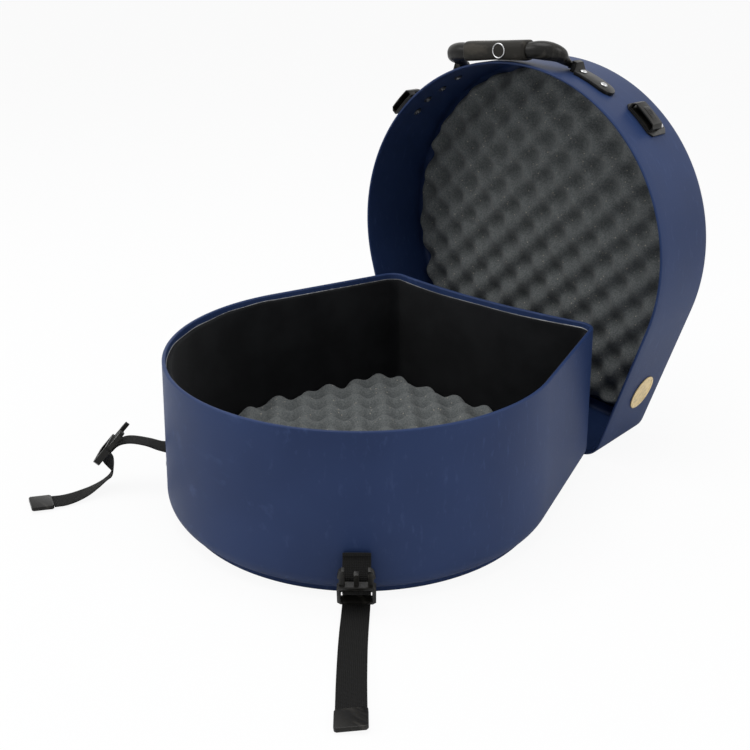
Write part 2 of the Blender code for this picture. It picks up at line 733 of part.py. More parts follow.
def strap_route(leaves_down, before, male_at, male_tilt, weave, after):
    """The whole middle line of a strap, woven through its buckle's slots."""
    lean, tilt = math.radians(leaves_down), math.radians(male_tilt)
    pivot_out, pivot_up = strap_pivot(leaves_down)
    thin = WEBBING_THICKNESS / 2
    first = (pivot_out - thin * math.sin(lean), 0.0, pivot_up - thin * math.cos(lean), 0.0, 0.0)
    woven = []
    for along, front in weave:
        out = male_at[0] + along * math.cos(tilt) + front * math.sin(tilt)
        up = male_at[2] + along * math.sin(tilt) - front * math.cos(tilt)
        woven.append((out, male_at[1], up, 0.0, 0.0))
    return [first, *before, *woven, *after]


def male_outlines():
    """Outlines of a male buckle half: its frame, and a trident of two prongs and a guide."""
    wide, root, length = MALE_HALF_WIDTH, MALE_FRAME_LENGTH, MALE_LENGTH
    corner, prong, guide = MALE_CORNER, MALE_PRONG_WIDTH, MALE_GUIDE_HALF_WIDTH
    frame = [(0.0, wide - corner), (corner, wide), (root - corner, wide), (root, wide - corner)]
    outer = wide - MALE_PRONG_INSET
    barb = root + MALE_BARB_AT
    half = [
        (root - MALE_BAR / 2, outer),
        (barb, outer),
        (barb + corner / 2, outer + MALE_BARB),
        (length - corner, outer),
        (length, outer - prong / 2),
        (length, outer - prong),
        (root - MALE_BAR / 4, outer - prong),
        (root - MALE_BAR / 4, guide),
        (length - 2 * corner, guide),
    ]
    return [side + [(u, -v) for u, v in reversed(side)] for side in (frame, half)]


def block(x0, x1, y0, y1, z0, z1):
    return prism([(x0, y0), (x1, y0), (x1, y1), (x0, y1)], z0, z1)


def make_male_buckle(side, matrix, male_at, male_tilt):
    """A male buckle half: its frame has a slot on each side of a set-back middle bar."""
    tilt = math.radians(male_tilt)
    along = matrix.to_3x3() @ Vector((math.cos(tilt), 0, math.sin(tilt)))
    front = matrix.to_3x3() @ Vector((math.sin(tilt), 0, -math.cos(tilt)))
    frame = frame_matrix(along, front.cross(along), front, matrix @ Vector(male_at))
    frame_outline, prong_outline = male_outlines()
    points, faces = prism(frame_outline, MALE_BACK, MALE_FRAME_FRONT)
    male = piece(side + "_male_buckle", "black_plastic", moved(points, frame), faces)
    points, faces = prism(prong_outline, MALE_BACK + CLEAR, MALE_FRONT)
    cut(male, piece(side + "_male_prongs", None, moved(points, frame), faces), "UNION")
    half = MALE_HALF_WIDTH - MALE_RAIL
    bar_low, bar_high = MALE_MIDDLE_BAR
    far, inset = 2 * MALE_FRAME_FRONT, CLEAR
    for name, box in (
        ("near_slot", block(MALE_BAR, bar_low, -half, half, -far, far)),
        ("far_slot", block(bar_high, MALE_FRAME_LENGTH - MALE_BAR, -half, half, -far, far)),
        ("bar_top", block(bar_low - MALE_BAR / 2, bar_high + MALE_BAR / 2, inset - half, half - inset,
                          MALE_MIDDLE_BAR_FRONT, far)),
    ):
        cut(male, piece(f"{side}_male_{name}", None, moved(box[0], frame), box[1]))
    return male


def make_strap(side, angle, leaves_down, route, male_at, male_tilt):
    """The free part of a strap with its male buckle and end tip."""
    matrix = strap_matrix(angle)
    curve = smooth_curve(route, 2)
    path = np.array([matrix @ Vector(p[:3]) for p in curve])
    tangents = np.gradient(path, axis=0)
    tangents /= np.linalg.norm(tangents, axis=1)[:, None]
    turns, rolls = np.radians(curve[:, 3]), np.radians(curve[:, 4])
    level = np.array([matrix.to_3x3() @ Vector((-math.sin(t), math.cos(t), 0)) for t in turns])
    lift = np.cross(tangents, level)
    widths = level * np.cos(rolls)[:, None] + lift * np.sin(rolls)[:, None]
    ups = np.cross(widths, tangents)
    half, thin = WEBBING_WIDTH / 2, WEBBING_THICKNESS / 2
    section = [(-half, -thin), (half, -thin), (half, thin), (-half, thin)]
    webbing = swept(path, ups, [section] * len(path), side + "_strap_webbing", "webbing")

    heading, normal = Vector(tangents[-1]), -Vector(ups[-1]).normalized()
    tip_frame = frame_matrix(heading, normal.cross(heading), normal, Vector(path[-1]))
    outline = rounded_box(CLEAR, TIP_LENGTH, -TIP_WIDTH / 2, TIP_WIDTH / 2, TIP_WIDTH / 15, 2)
    points, faces = prism(outline, -TIP_THICKNESS / 2, TIP_THICKNESS / 2)
    tip = piece(side + "_strap_tip", "black_plastic", moved(points, tip_frame), faces)
    male = make_male_buckle(side, matrix, male_at, male_tilt)

    pivot_out, pivot_up = strap_pivot(leaves_down)
    empty = joint_empty(side + "_strap_swing_axis", matrix @ Vector((pivot_out, 0, pivot_up)))
    for obj in (webbing, tip, male):
        hold(obj, empty)


def make_female_buckle(side, angle, mouth_at, plate_width):
    """A female buckle half on its riveted plate. Its mouth faces the lid's rim."""
    back = mouth_at + BUCKLE_LENGTH
    low, middle = CLEAR, CLEAR + BUCKLE_PLATE_THICKNESS
    stations = np.linspace(-plate_width / 2, plate_width / 2, 9)
    centre = mouth_at + BUCKLE_PLATE_LENGTH / 2

    def plate_half(x):
        inset = BUCKLE_PLATE_CORNER if abs(x) > stations[-2] else 0.0
        return BUCKLE_PLATE_LENGTH / 2 - inset

    points, faces = sliced_plate(plate_half, stations, low, lambda x: middle)
    points = [(x, y + centre, z) for x, y, z in points]
    plate = piece(side + "_buckle_plate", "black_plastic", on_lid_wall(points, angle), faces)

    top = middle + CLEAR + BUCKLE_HEIGHT
    half = BUCKLE_WIDTH / 2
    chamfer = BUCKLE_CHAMFER
    section = [(x, middle + CLEAR) for x in np.linspace(-half, half, 5)]
    section.append((half, top - chamfer))
    section += [(x, top) for x in np.linspace(half - chamfer, chamfer - half, 5)]
    section.append((-half, top - chamfer))
    count = len(section)
    rings = [(mouth_at, 1.0, 0.0), (back - BUCKLE_TAPER_LENGTH, 1.0, 0.0)]
    rings.append((back, BUCKLE_END_TAPER, BUCKLE_END_DROP))
    points, faces = [], [tuple(range(count))[::-1]]
    for depth, scale, drop in rings:
        points += [(x * scale, depth, z if z < top / 2 else z - drop) for x, z in section]
    for k in range(len(rings) - 1):
        a, b = k * count, (k + 1) * count
        faces += [(a + i, a + (i + 1) % count, b + (i + 1) % count, b + i) for i in range(count)]
    faces.append(tuple(range((len(rings) - 1) * count, len(rings) * count)))
    body = piece(side + "_female_buckle", "black_plastic", on_lid_wall(points, angle), faces)

    inner = half - BUCKLE_WALL
    mouth = [(x, middle + CLEAR + BUCKLE_WALL) for x in np.linspace(-inner, inner, 5)]
    mouth.append((inner, top - chamfer))
    mouth += [(x, top - BUCKLE_WALL) for x in np.linspace(half - chamfer, chamfer - half, 5)]
    mouth.append((-inner, top - chamfer))
    count = len(mouth)
    points, faces = [], [tuple(range(count))[::-1]]
    for depth in (mouth_at - BUCKLE_LENGTH, back - BUCKLE_TAPER_LENGTH - BUCKLE_WALL):
        points += [(x, depth, z) for x, z in mouth]
    faces += [(i, (i + 1) % count, count + (i + 1) % count, count + i) for i in range(count)]
    faces.append(tuple(range(count, 2 * count)))
    cut(body, piece(side + "_buckle_mouth", None, on_lid_wall(points, angle), faces))
    height = (middle + 2 * CLEAR + BUCKLE_WALL, top - chamfer - CLEAR)
    points = [
        (x, mouth_at + y, z)
        for x in (-BUCKLE_WIDTH, BUCKLE_WIDTH)
        for y in BUCKLE_WINDOW
        for z in height
    ]
    faces = [(0, 1, 3, 2), (4, 6, 7, 5), (0, 4, 5, 1), (2, 3, 7, 6), (0, 2, 6, 4), (1, 5, 7, 3)]
    cut(body, piece(side + "_buckle_windows", None, on_lid_wall(points, angle), faces))

    turn = math.degrees(BUCKLE_RIVET_SPACING / 2 / LID_RADIUS)
    spots = [lid_frame(angle + t, mouth_at + BUCKLE_RIVET_AT) for t in (-turn, turn)]
    holes = hole_cutter(side + "_buckle_holes", spots, -HOLE_REACH, HOLE_REACH)
    cut(plate, holes)
    pieces = [plate, body]
    for letter, matrix in zip("ab", spots):
        head_at = middle + CLEAR
        pieces += make_rivet(f"{side}_buckle_rivet_{letter}", matrix, head_at, -LID_WALL - CLEAR)
    return pieces, holes


def handle_path():
    """The handle core's middle line and half sizes in the handle's frame, from end to end."""
    right = smooth_curve(HANDLE_HALF, 2)
    left = right[:0:-1] * (-1, 1, 1, 1, 1)
    return np.concatenate([left, right])


def oval(half_width, half_height, sides=12):
    angles = 2 * math.pi * (np.arange(sides) + 0.5) / sides
    return list(zip(half_width * np.cos(angles), half_height * np.sin(angles)))


def make_handle():
    """Bail handle, lying forwards towards the rim, on pins in the ears of two riveted plates."""
    frame = lid_frame(HANDLE_ANGLE, HANDLE_DEPTH)
    axis = frame @ Matrix.Translation((0, 0, HANDLE_PIVOT_UP))
    up = frame.to_3x3() @ Vector((0, 0, 1))
    path = handle_path()
    world = [frame @ Vector(p[:3]) for p in path]
    sections = [oval(*p[3:]) for p in path]
    core = swept(world, [up] * len(world), sections, "handle_core", "black_plastic")
    for side, sign in (("left", -1), ("right", 1)):
        cut(core, make_handle_pin(side, sign, axis), "UNION")

    inside = np.abs(path[:, 0]) < GRIP_HALF_LENGTH
    ends = path[np.isclose(np.abs(path[:, 0]), GRIP_HALF_LENGTH)]
    line = np.concatenate([ends[:1], path[inside], ends[1:]])
    outline = rounded_box(-GRIP_DEPTH / 2, GRIP_DEPTH / 2, -GRIP_HEIGHT / 2, GRIP_HEIGHT / 2, GRIP_ROUND)
    middle = [frame @ Vector(p[:3]) for p in line]
    grip = swept(middle, [up] * len(middle), [outline] * len(middle), "handle_grip", "rubber")
    near = np.abs(path[:, 0]) < GRIP_HALF_LENGTH + GRIP_HEIGHT / 2
    bore_path = [place for place, keep in zip(world, near) if keep]
    bore_sections = [oval(p[3] + CLEAR, p[4] + CLEAR) for p in path[near]]
    cut(grip, swept(bore_path, [up] * len(bore_path), bore_sections, "grip_bore", None))

    face = (MEDALLION_AT, HANDLE_HALF[0][1] - GRIP_DEPTH / 2 - CLEAR, HANDLE_HALF[0][2])
    face = frame @ Matrix.Translation(face) @ Matrix.Rotation(math.radians(90), 4, "X")
    rim = MEDALLION_RADIUS
    section = [
        (0, 0),
        (rim, 0),
        (rim, MEDALLION_THICKNESS),
        (rim * 0.8, MEDALLION_THICKNESS),
        (rim * 0.74, MEDALLION_THICKNESS * 0.5),
        (0, MEDALLION_THICKNESS * 0.5),
    ]
    medallion = piece("handle_medallion", "steel", *turned(section, face, 16))

    pieces, cutters = [], []
    for side, sign in (("left", -1), ("right", 1)):
        pieces_here, holes = make_handle_plate(side, sign, axis)
        pieces += pieces_here
        cutters.append(holes)
    return (core, grip, medallion), pieces, cutters, axis.translation


def make_handle_pin(side, sign, axis):
    """The lobe at one end of the handle's core, with the pin that turns in the plate's ear."""
    turn = axis @ Matrix.Rotation(math.radians(90 * sign), 4, "Y")
    lobe_from, lobe_to = HANDLE_LOBE
    section = [
        (0, lobe_from),
        (HANDLE_LOBE_RADIUS, lobe_from),
        (HANDLE_LOBE_RADIUS, lobe_to),
        (HANDLE_PIN_RADIUS, lobe_to),
        (HANDLE_PIN_RADIUS, HANDLE_PIN_END),
        (0, HANDLE_PIN_END),
    ]
    return piece(f"{side}_handle_pin", None, *turned(section, turn))


def make_handle_plate(side, sign, axis):
    """A plate bent to the lid's wall, with an ear that holds the handle's pin, and two rivets."""
    full, end_round = PLATE_WIDTH / 2, PLATE_WIDTH / 2
    stations = [EAR_FROM, (EAR_FROM + EAR_TO) / 2, EAR_TO, EAR_SLOPE_TO]
    stations += list(np.linspace(EAR_SLOPE_TO, PLATE_TO - end_round, 7)[1:])
    stations += [PLATE_TO - end_round * k for k in (0.6, 0.3, 0.1, 0.0)]

    def half_width(x):
        if x <= EAR_TO:
            return EAR_WIDTH / 2
        from_centre = max(x - (PLATE_TO - end_round), 0.0)
        return max(math.sqrt(max(full**2 - from_centre**2, 0.0)), full * 0.25)

    def top(x):
        if x <= EAR_TO:
            return EAR_HEIGHT
        return CLEAR + PLATE_THICKNESS

    points, faces = sliced_plate(half_width, stations, CLEAR, top)
    points = [(sign * x, y + HANDLE_DEPTH, z) for x, y, z in points]
    plate = piece(f"{side}_handle_plate", "black_plastic", on_lid_wall(points, HANDLE_ANGLE), faces)

    turn = axis @ Matrix.Rotation(math.radians(90 * sign), 4, "Y")
    radius, deep = HANDLE_PIN_RADIUS + CLEAR, HANDLE_PIN_END + CLEAR
    section = [(0, HANDLE_LOBE[0]), (radius, HANDLE_LOBE[0]), (radius, deep), (0, deep)]
    cut(plate, piece(f"{side}_pin_socket", None, *turned(section, turn)))

    spots = [
        lid_frame(HANDLE_ANGLE + sign * math.degrees(at / LID_RADIUS), HANDLE_DEPTH)
        for at in PLATE_RIVETS_AT
    ]
    holes = hole_cutter(f"{side}_plate_holes", spots, -2 * LID_WALL, 2 * EAR_HEIGHT)
    cut(plate, holes)
    pieces = [plate]
    for letter, matrix in zip("ab", spots):
        head_at = PLATE_THICKNESS + 2 * CLEAR
        pieces += make_rivet(f"{side}_handle_rivet_{letter}", matrix, head_at, -LID_WALL - CLEAR)
    return pieces, holes


def make_badge():
    """A plain round badge on the flat of the lid's right side."""
    cx, cy = FLAT_HALF_WIDTH - CORNER_RADIUS, FLAT_END_Y - CORNER_RADIUS
    touch = math.atan2(cy, cx) - math.acos((RIM_RADIUS - CORNER_RADIUS) / math.hypot(cx, cy))
    out = Vector((math.cos(touch), 0, -math.sin(touch)))
    along = Vector((math.sin(touch), 0, math.cos(touch)))
    foot = Vector((0, LID_STANDS_AT_Y + BADGE_DEPTH, LID_CENTRE_Z)) + out * (LID_RADIUS + CLEAR)
    slide = (BADGE_HEIGHT - foot.z) / along.z
    matrix = frame_matrix(Vector((0, 1, 0)), along, out, foot + along * slide)
    if matrix.determinant() < 0:
        matrix = frame_matrix(Vector((0, -1, 0)), along, out, foot + along * slide)
    rim = BADGE_RADIUS
    section = [
        (0, 0),
        (rim, 0),
        (rim, BADGE_THICKNESS),
        (rim * 0.88, BADGE_THICKNESS),
        (rim * 0.85, BADGE_THICKNESS * 0.6),
        (0, BADGE_THICKNESS * 0.6),
    ]
    return piece("side_badge", "badge", *turned(section, matrix, 24))


def main():
    clear_scene()
    base, lining = make_base()
    make_base_foam()
    for side, angle, leaves_down, before, weave_end, after, male_at, male_tilt in (
        ("front", FRONT_STRAP_ANGLE, FRONT_LEAVES_DOWN, FRONT_ROUTE, FRONT_WEAVE_END, FRONT_TAIL,
         FRONT_MALE_AT, FRONT_MALE_TILT),
        ("side", SIDE_STRAP_ANGLE, SIDE_LEAVES_DOWN, SIDE_ROUTE, SIDE_WEAVE_END, SIDE_TAIL,
         SIDE_MALE_AT, SIDE_MALE_TILT),
    ):
        holes, pockets = make_anchor(side, angle)
        cut(base, holes)
        cut(lining, pockets)
        route = strap_route(leaves_down, before, male_at, male_tilt, WEAVE + weave_end, after)
        make_strap(side, angle, leaves_down, route, male_at, male_tilt)

    lid, foam = make_lid()
    lid_pieces = [lid, foam, make_badge()]
    for side, angle, mouth_at, plate_width in (
        ("front", FRONT_BUCKLE_ANGLE, FRONT_BUCKLE_MOUTH, FRONT_BUCKLE_PLATE_WIDTH),
        ("side", SIDE_BUCKLE_ANGLE, SIDE_BUCKLE_MOUTH, SIDE_BUCKLE_PLATE_WIDTH),
    ):
        pieces, holes = make_female_buckle(side, angle, mouth_at, plate_width)
        lid_pieces += pieces
        cut(lid, holes)
    handle, plates, cutters, handle_axis = make_handle()
    lid_pieces += plates
    for holes in cutters:
        cut(lid, holes)
    lid_axis = joint_empty("lid_swing_axis", (0, LID_PIVOT_Y, LID_PIVOT_Z))
    grip_axis = joint_empty("handle_swing_axis", handle_axis)
    hold(grip_axis, lid_axis)
    bpy.context.view_layer.update()
    for obj in lid_pieces:
        hold(obj, lid_axis)
    for obj in handle:
        hold(obj, grip_axis)


main()
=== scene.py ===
# %% [markdown]
# # A snare drum case, opened
# The object is a moulded plastic case for a snare drum. A deep blue base stands open in front,
# lined with black felt and floored with an egg-crate foam pad. Its lid stands on its flat end
# behind it. Two webbing straps with side-release buckles lie on the floor, and a carrying
# handle lies on the lid's round wall. The solids that move and collide are loaded first, as a
# fixed frame, and every surface below is made to lie on them.

# %% Load the frame
import math

import bmesh
import bpy
import numpy as np
from mathutils import Matrix, Vector


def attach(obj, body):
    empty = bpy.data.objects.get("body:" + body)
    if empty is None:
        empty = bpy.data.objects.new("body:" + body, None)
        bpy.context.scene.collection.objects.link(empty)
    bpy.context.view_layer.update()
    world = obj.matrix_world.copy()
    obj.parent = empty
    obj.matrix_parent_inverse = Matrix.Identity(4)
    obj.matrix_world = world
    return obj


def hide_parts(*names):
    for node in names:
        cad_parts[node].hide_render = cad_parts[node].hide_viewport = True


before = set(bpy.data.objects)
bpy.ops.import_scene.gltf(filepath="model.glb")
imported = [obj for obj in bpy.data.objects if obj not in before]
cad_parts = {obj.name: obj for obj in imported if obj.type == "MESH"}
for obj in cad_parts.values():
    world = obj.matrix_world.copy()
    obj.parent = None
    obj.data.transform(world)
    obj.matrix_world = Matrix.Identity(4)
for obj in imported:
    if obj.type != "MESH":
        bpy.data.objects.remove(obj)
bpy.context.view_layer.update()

# %% [markdown]
# ## The camera
# The picture was taken from the front right, about 23 degrees above the floor and 1.2 m away.
# A camera can be aimed with a constraint or by hand. Here its matrix is built from a place, a
# point that it looks at and a small roll, because these three are what was measured.

# %% Camera
CAMERA_PLACE = Vector((0.7003, -0.7617, 0.5753))
CAMERA_TARGET = Vector((-0.0163, 0.0408, 0.1237))
CAMERA_ROLL = math.radians(0.22)
FOCAL_LENGTH_IN_WIDTHS = 1.3905

camera_data = bpy.data.cameras.new("photo_camera")
camera_data.sensor_width = 36.0
camera_data.lens = FOCAL_LENGTH_IN_WIDTHS * camera_data.sensor_width
camera_data.clip_start = 0.02
camera = bpy.data.objects.new("photo_camera", camera_data)
bpy.context.scene.collection.objects.link(camera)
aim = (CAMERA_TARGET - CAMERA_PLACE).to_track_quat("-Z", "Y").to_matrix().to_4x4()
camera.matrix_world = Matrix.Translation(CAMERA_PLACE) @ aim @ Matrix.Rotation(CAMERA_ROLL, 4, "Z")
bpy.context.scene.camera = camera
bpy.context.scene.view_settings.view_transform = "Standard"
print("lens in mm:", round(camera_data.lens, 2))

# %% [markdown]
# ## From arrays to meshes
# Most pieces here are grids: a shape is a function of two parameters, worked out for the whole
# grid at once, and the grid's rows and columns become quads. One helper turns any such grid
# into a closed mesh. Its columns join in a ring. Its rows join too, or a fan closes each end.

# %% Helpers that make meshes
def quads(rows, columns, wrap_rows, wrap_columns):
    """Corner numbers of every quad of a grid, whose point (r, c) is number r * columns + c."""
    r = np.arange(rows if wrap_rows else rows - 1)[:, None]
    c = np.arange(columns if wrap_columns else columns - 1)[None, :]
    below, right = (r + 1) % rows, (c + 1) % columns
    corners = [r * columns + c, r * columns + right, below * columns + right, below * columns + c]
    return np.stack(corners, axis=-1).reshape(-1, 4).tolist()


def add_piece(name, points, faces, material, smooth_angle=35.0, uv=None):
    """An object at the origin with these points and faces, its normals outwards."""
    mesh = bpy.data.meshes.new(name)
    mesh.from_pydata(np.asarray(points, float).reshape(-1, 3).tolist(), [], faces)
    if uv is not None:
        layer = mesh.uv_layers.new(name="cloth")
        corner_points = np.empty(len(mesh.loops), int)
        mesh.loops.foreach_get("vertex_index", corner_points)
        layer.data.foreach_set("uv", np.asarray(uv, float)[corner_points].ravel())
    edit = bmesh.new()
    edit.from_mesh(mesh)
    bmesh.ops.recalc_face_normals(edit, faces=edit.faces)
    edit.to_mesh(mesh)
    edit.free()
    mesh.shade_smooth()
    mesh.set_sharp_from_angle(angle=math.radians(smooth_angle))
    mesh.materials.append(material)
    made = bpy.data.objects.new(name, mesh)
    bpy.context.scene.collection.objects.link(made)
    return made


def skin(name, grid, material, wrap_rows=False, uv=None, angle=35.0):
    """A grid of points as a closed surface. Each open end row gets a fan about its middle."""
    rows, columns = grid.shape[:2]
    points = grid.reshape(-1, 3)
    faces = quads(rows, columns, wrap_rows, True)
    if not wrap_rows:
        first, last = len(points), len(points) + 1
        points = np.concatenate([points, [grid[0].mean(axis=0), grid[-1].mean(axis=0)]])
        k = np.arange(columns)
        following = (k + 1) % columns
        start = (rows - 1) * columns
        faces += np.stack([following, k, np.full(columns, first)], axis=1).tolist()
        faces += np.stack([start + k, start + following, np.full(columns, last)], axis=1).tolist()
        if uv is not None:
            uv = np.concatenate([uv, uv[:1], uv[-1:]])
    return add_piece(name, points, faces, material, angle, uv)


def dress(piece, body, node=None):
    """Hangs a piece on its body, and lets it stand for a CAD node."""
    if node:
        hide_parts(node)
    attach(piece, body)
    return piece


print("a 3 by 4 grid with joined columns has", len(quads(3, 4, False, True)), "quads")

# %% [markdown]
# Curves and sections are arrays as well. A smooth curve goes through measured points, a
# section is a closed ring of points, and a turned piece is a profile taken round an axis.

# %% Helpers for curves and sections
def around(count):
    """Angles at equal steps round a full turn."""
    return np.linspace(0, 2 * np.pi, count, endpoint=False)


def unit(vectors):
    """Each vector divided by its length."""
    return vectors / np.linalg.norm(vectors, axis=-1, keepdims=True)


def place(points, matrix):
    """Points carried by a 4 by 4 matrix: turned, then moved."""
    matrix = np.array(matrix)
    return points @ matrix[:3, :3].T + matrix[:3, 3]


def running_length(path):
    """The way travelled at each point: the sum of the steps before it."""
    return np.concatenate([[0], np.cumsum(np.linalg.norm(np.diff(path, axis=0), axis=1))])


def smooth_curve(points, steps):
    """Catmull-Rom curve: each span is a cubic whose ends head along their neighbours' chord."""
    points = np.asarray(points, float)
    padded = np.vstack([2 * points[0] - points[1], points, 2 * points[-1] - points[-2]])
    p0, p1, p2, p3 = (padded[i:len(points) - 1 + i, None, :] for i in range(4))
    t = (np.arange(steps) / steps)[None, :, None]
    spans = 2 * p1 + (p2 - p0) * t + (2 * p0 - 5 * p1 + 4 * p2 - p3) * t**2
    spans = 0.5 * (spans + (3 * p1 - p0 - 3 * p2 + p3) * t**3)
    return np.vstack([spans.reshape(-1, points.shape[1]), points[-1:]])


def signed_power(values, power):
    """The size of each value to a power, with the value's own sign."""
    return np.sign(values) * np.abs(values) ** power


def superellipse(half_width, half_height, power, count):
    """Closed section: |x / w| ** power + |y / h| ** power = 1, which is an ellipse at power 2."""
    x = signed_power(np.cos(around(count)), 2 / power)
    y = signed_power(np.sin(around(count)), 2 / power)
    return np.stack([np.multiply.outer(half_width, x), np.multiply.outer(half_height, y)], axis=-1)


def turned(name, profile, matrix, material, sides=48, angle=50.0, ring=False):
    """Pairs (radius, height) turned about the matrix's Z axis. A ring's profile is closed."""
    profile = np.asarray(profile, float)
    turn = around(sides)
    x, y = profile[:, :1] * np.cos(turn), profile[:, :1] * np.sin(turn)
    z = np.repeat(profile[:, 1:], sides, axis=1)
    grid = place(np.stack([x, y, z], axis=-1), matrix)
    return skin(name, grid, material, wrap_rows=ring, angle=angle)


print("a span in 4 steps:", smooth_curve([(0, 0), (1, 1)], 4)[:, 0].tolist())

# %% [markdown]
# ## Effects that several finishes share
# Moulded plastic, rubber, foam and cloth all need a fine relief, a slow change of tone and
# some rubbed places. Each effect could be drawn again in each material. It is built once as a
# node group with named inputs and outputs, and each material places it with its own values.

# %% Helpers for nodes
def feed(tree, socket, value):
    """Links a node's output to a socket, or sets the socket. A colour comes without alpha."""
    if isinstance(value, bpy.types.NodeSocket):
        tree.links.new(value, socket)
    else:
        socket.default_value = (*value, 1.0) if socket.type == "RGBA" else value


def add_node(tree, kind, **values):
    """A node with sockets and settings given by name. An underscore stands for a space."""
    made = tree.nodes.new(kind)
    for key, value in values.items():
        label = key.replace("_", " ")
        if label in made.inputs:
            feed(tree, made.inputs[label], value)
        else:
            setattr(made, key, value)
    return made


def add_math(tree, operation, first, second, **settings):
    """The result of one operation on two numbers or outputs."""
    made = add_node(tree, "ShaderNodeMath", operation=operation, **settings)
    feed(tree, made.inputs[0], first)
    feed(tree, made.inputs[1], second)
    return made.outputs[0]


def new_group(name, inputs, outputs):
    """An empty node group: its tree, what it is given and its results. None makes a vector."""
    tree = bpy.data.node_groups.new(name, "ShaderNodeTree")
    for label, value in inputs.items():
        kind = "NodeSocketVector" if value is None else "NodeSocketFloat"
        socket = tree.interface.new_socket(label, in_out="INPUT", socket_type=kind)
        if value is not None:
            socket.default_value = value
    for label in outputs:
        tree.interface.new_socket(label, in_out="OUTPUT", socket_type="NodeSocketFloat")
    given, results = tree.nodes.new("NodeGroupInput"), tree.nodes.new("NodeGroupOutput")
    return tree, given.outputs, results.inputs


print("a node's socket is fed with a number, a colour or another node's output")

# %% [markdown]
# The three groups. Fine relief and slow tone are two noises on one position. Rubbed streaks
# are a stretched noise, cut off below a level. Woven ribs are two crossing waves.

# %% The shared groups
def relief_group():
    """Fine noise for a relief, and slow noise for a change of tone, from one position."""
    sockets = {"Position": None, "Fine scale": 900.0, "Slow scale": 9.0}
    tree, given, results = new_group("fine relief and slow tone", sockets, ["Relief", "Tone"])
    for scale, result, detail in (("Fine scale", "Relief", 3.0), ("Slow scale", "Tone", 2.0)):
        noise = add_node(tree, "ShaderNodeTexNoise", Vector=given["Position"], Scale=given[scale],
                         Detail=detail, Roughness=0.55)
        feed(tree, results[result], noise.outputs["Fac"])
    return tree


def rubbed_group():
    """A mask of short, thin rubbed streaks: stretched noise, kept only where it is highest."""
    sockets = {"Position": None, "Scale": 30.0, "Coverage": 0.3}
    tree, given, results = new_group("rubbed streaks", sockets, ["Mask"])
    stretch = add_node(tree, "ShaderNodeMapping", Vector=given["Position"],
                       Rotation=(0.3, 0.5, 0.8), Scale=(1.0, 7.0, 2.0))
    noise = add_node(tree, "ShaderNodeTexNoise", Vector=stretch.outputs["Vector"],
                     Scale=given["Scale"], Detail=5.0, Roughness=0.6)
    level = add_math(tree, "SUBTRACT", 0.85, given["Coverage"])
    above = add_math(tree, "SUBTRACT", noise.outputs["Fac"], level)
    feed(tree, results["Mask"], add_math(tree, "MULTIPLY", above, 6.0, use_clamp=True))
    return tree


def weave_group():
    """A plain weave on a UV map in metres: two crossing sets of ribs, added and multiplied."""
    sockets = {"Cloth": None, "Rib scale": 130.0}
    tree, given, results = new_group("woven ribs", sockets, ["Relief", "Gaps"])
    ribs = [add_node(tree, "ShaderNodeTexWave", bands_direction=direction, Vector=given["Cloth"],
                     Scale=given["Rib scale"], Distortion=0.4).outputs["Fac"] for direction in "XY"]
    feed(tree, results["Relief"], add_math(tree, "ADD", *ribs))
    feed(tree, results["Gaps"], add_math(tree, "MULTIPLY", *ribs))
    return tree


RELIEF, RUBBED, WOVEN = relief_group(), rubbed_group(), weave_group()
print("shared groups:", [group.name for group in (RELIEF, RUBBED, WOVEN)])

# %% [markdown]
# ## The finishes
# The shells are blue moulded plastic with a satin skin, the fittings a blacker and glossier
# plastic, the grip a soft rubber. All three are one recipe: a base colour that drifts a
# little, rubbed streaks that are paler, and a fine relief. The recipe is one function, and
# the numbers make each finish.

# %% Moulded finishes
def start_material(name, **constants):
    """A material with a Principled BSDF whose plain sockets are set by name."""
    material = bpy.data.materials.new(name)
    material.use_nodes = True
    tree = material.node_tree
    shader = tree.nodes["Principled BSDF"]
    for key, value in constants.items():
        feed(tree, shader.inputs[key.replace("_", " ")], value)
    return material, tree, shader


def start_finish(name, fine, slow=9.0, **constants):
    """A material with its position, and relief and tone made from it at two scales."""
    material, tree, shader = start_material(name, **constants)
    position = tree.nodes.new("ShaderNodeTexCoord").outputs["Object"]
    relief = add_node(tree, "ShaderNodeGroup", node_tree=RELIEF, Position=position,
                      Fine_scale=fine, Slow_scale=slow)
    return material, tree, shader, position, relief.outputs


def add_ramp(tree, source, *stops):
    """Colour that eases from one (position, colour) to the other as the source rises."""
    ramp = add_node(tree, "ShaderNodeValToRGB", Fac=source)
    ramp.color_ramp.interpolation = "EASE"
    for element, (position, colour) in zip(ramp.color_ramp.elements, stops):
        element.position = position
        element.color = (*colour, 1.0)
    return ramp.outputs["Color"]


def add_mix(tree, mask, first, second):
    """Colour mixed from first to second where the mask is high."""
    mix = add_node(tree, "ShaderNodeMix", data_type="RGBA", Factor=mask)
    feed(tree, mix.inputs[6], first)
    feed(tree, mix.inputs[7], second)
    return mix.outputs[2]


def add_roughness(tree, shader, tone, bounds):
    """Roughness that goes from one bound to the other as the tone rises."""
    rough = add_node(tree, "ShaderNodeMapRange", Value=tone, To_Min=bounds[0], To_Max=bounds[1])
    feed(tree, shader.inputs["Roughness"], rough.outputs["Result"])


def add_surface(tree, shader, colour, height, strength, distance):
    """Base colour, and a bump whose height is scaled by a strength and a distance in metres."""
    bump = add_node(tree, "ShaderNodeBump", Height=height, Strength=strength, Distance=distance)
    feed(tree, shader.inputs["Normal"], bump.outputs["Normal"])
    feed(tree, shader.inputs["Base Color"], colour)


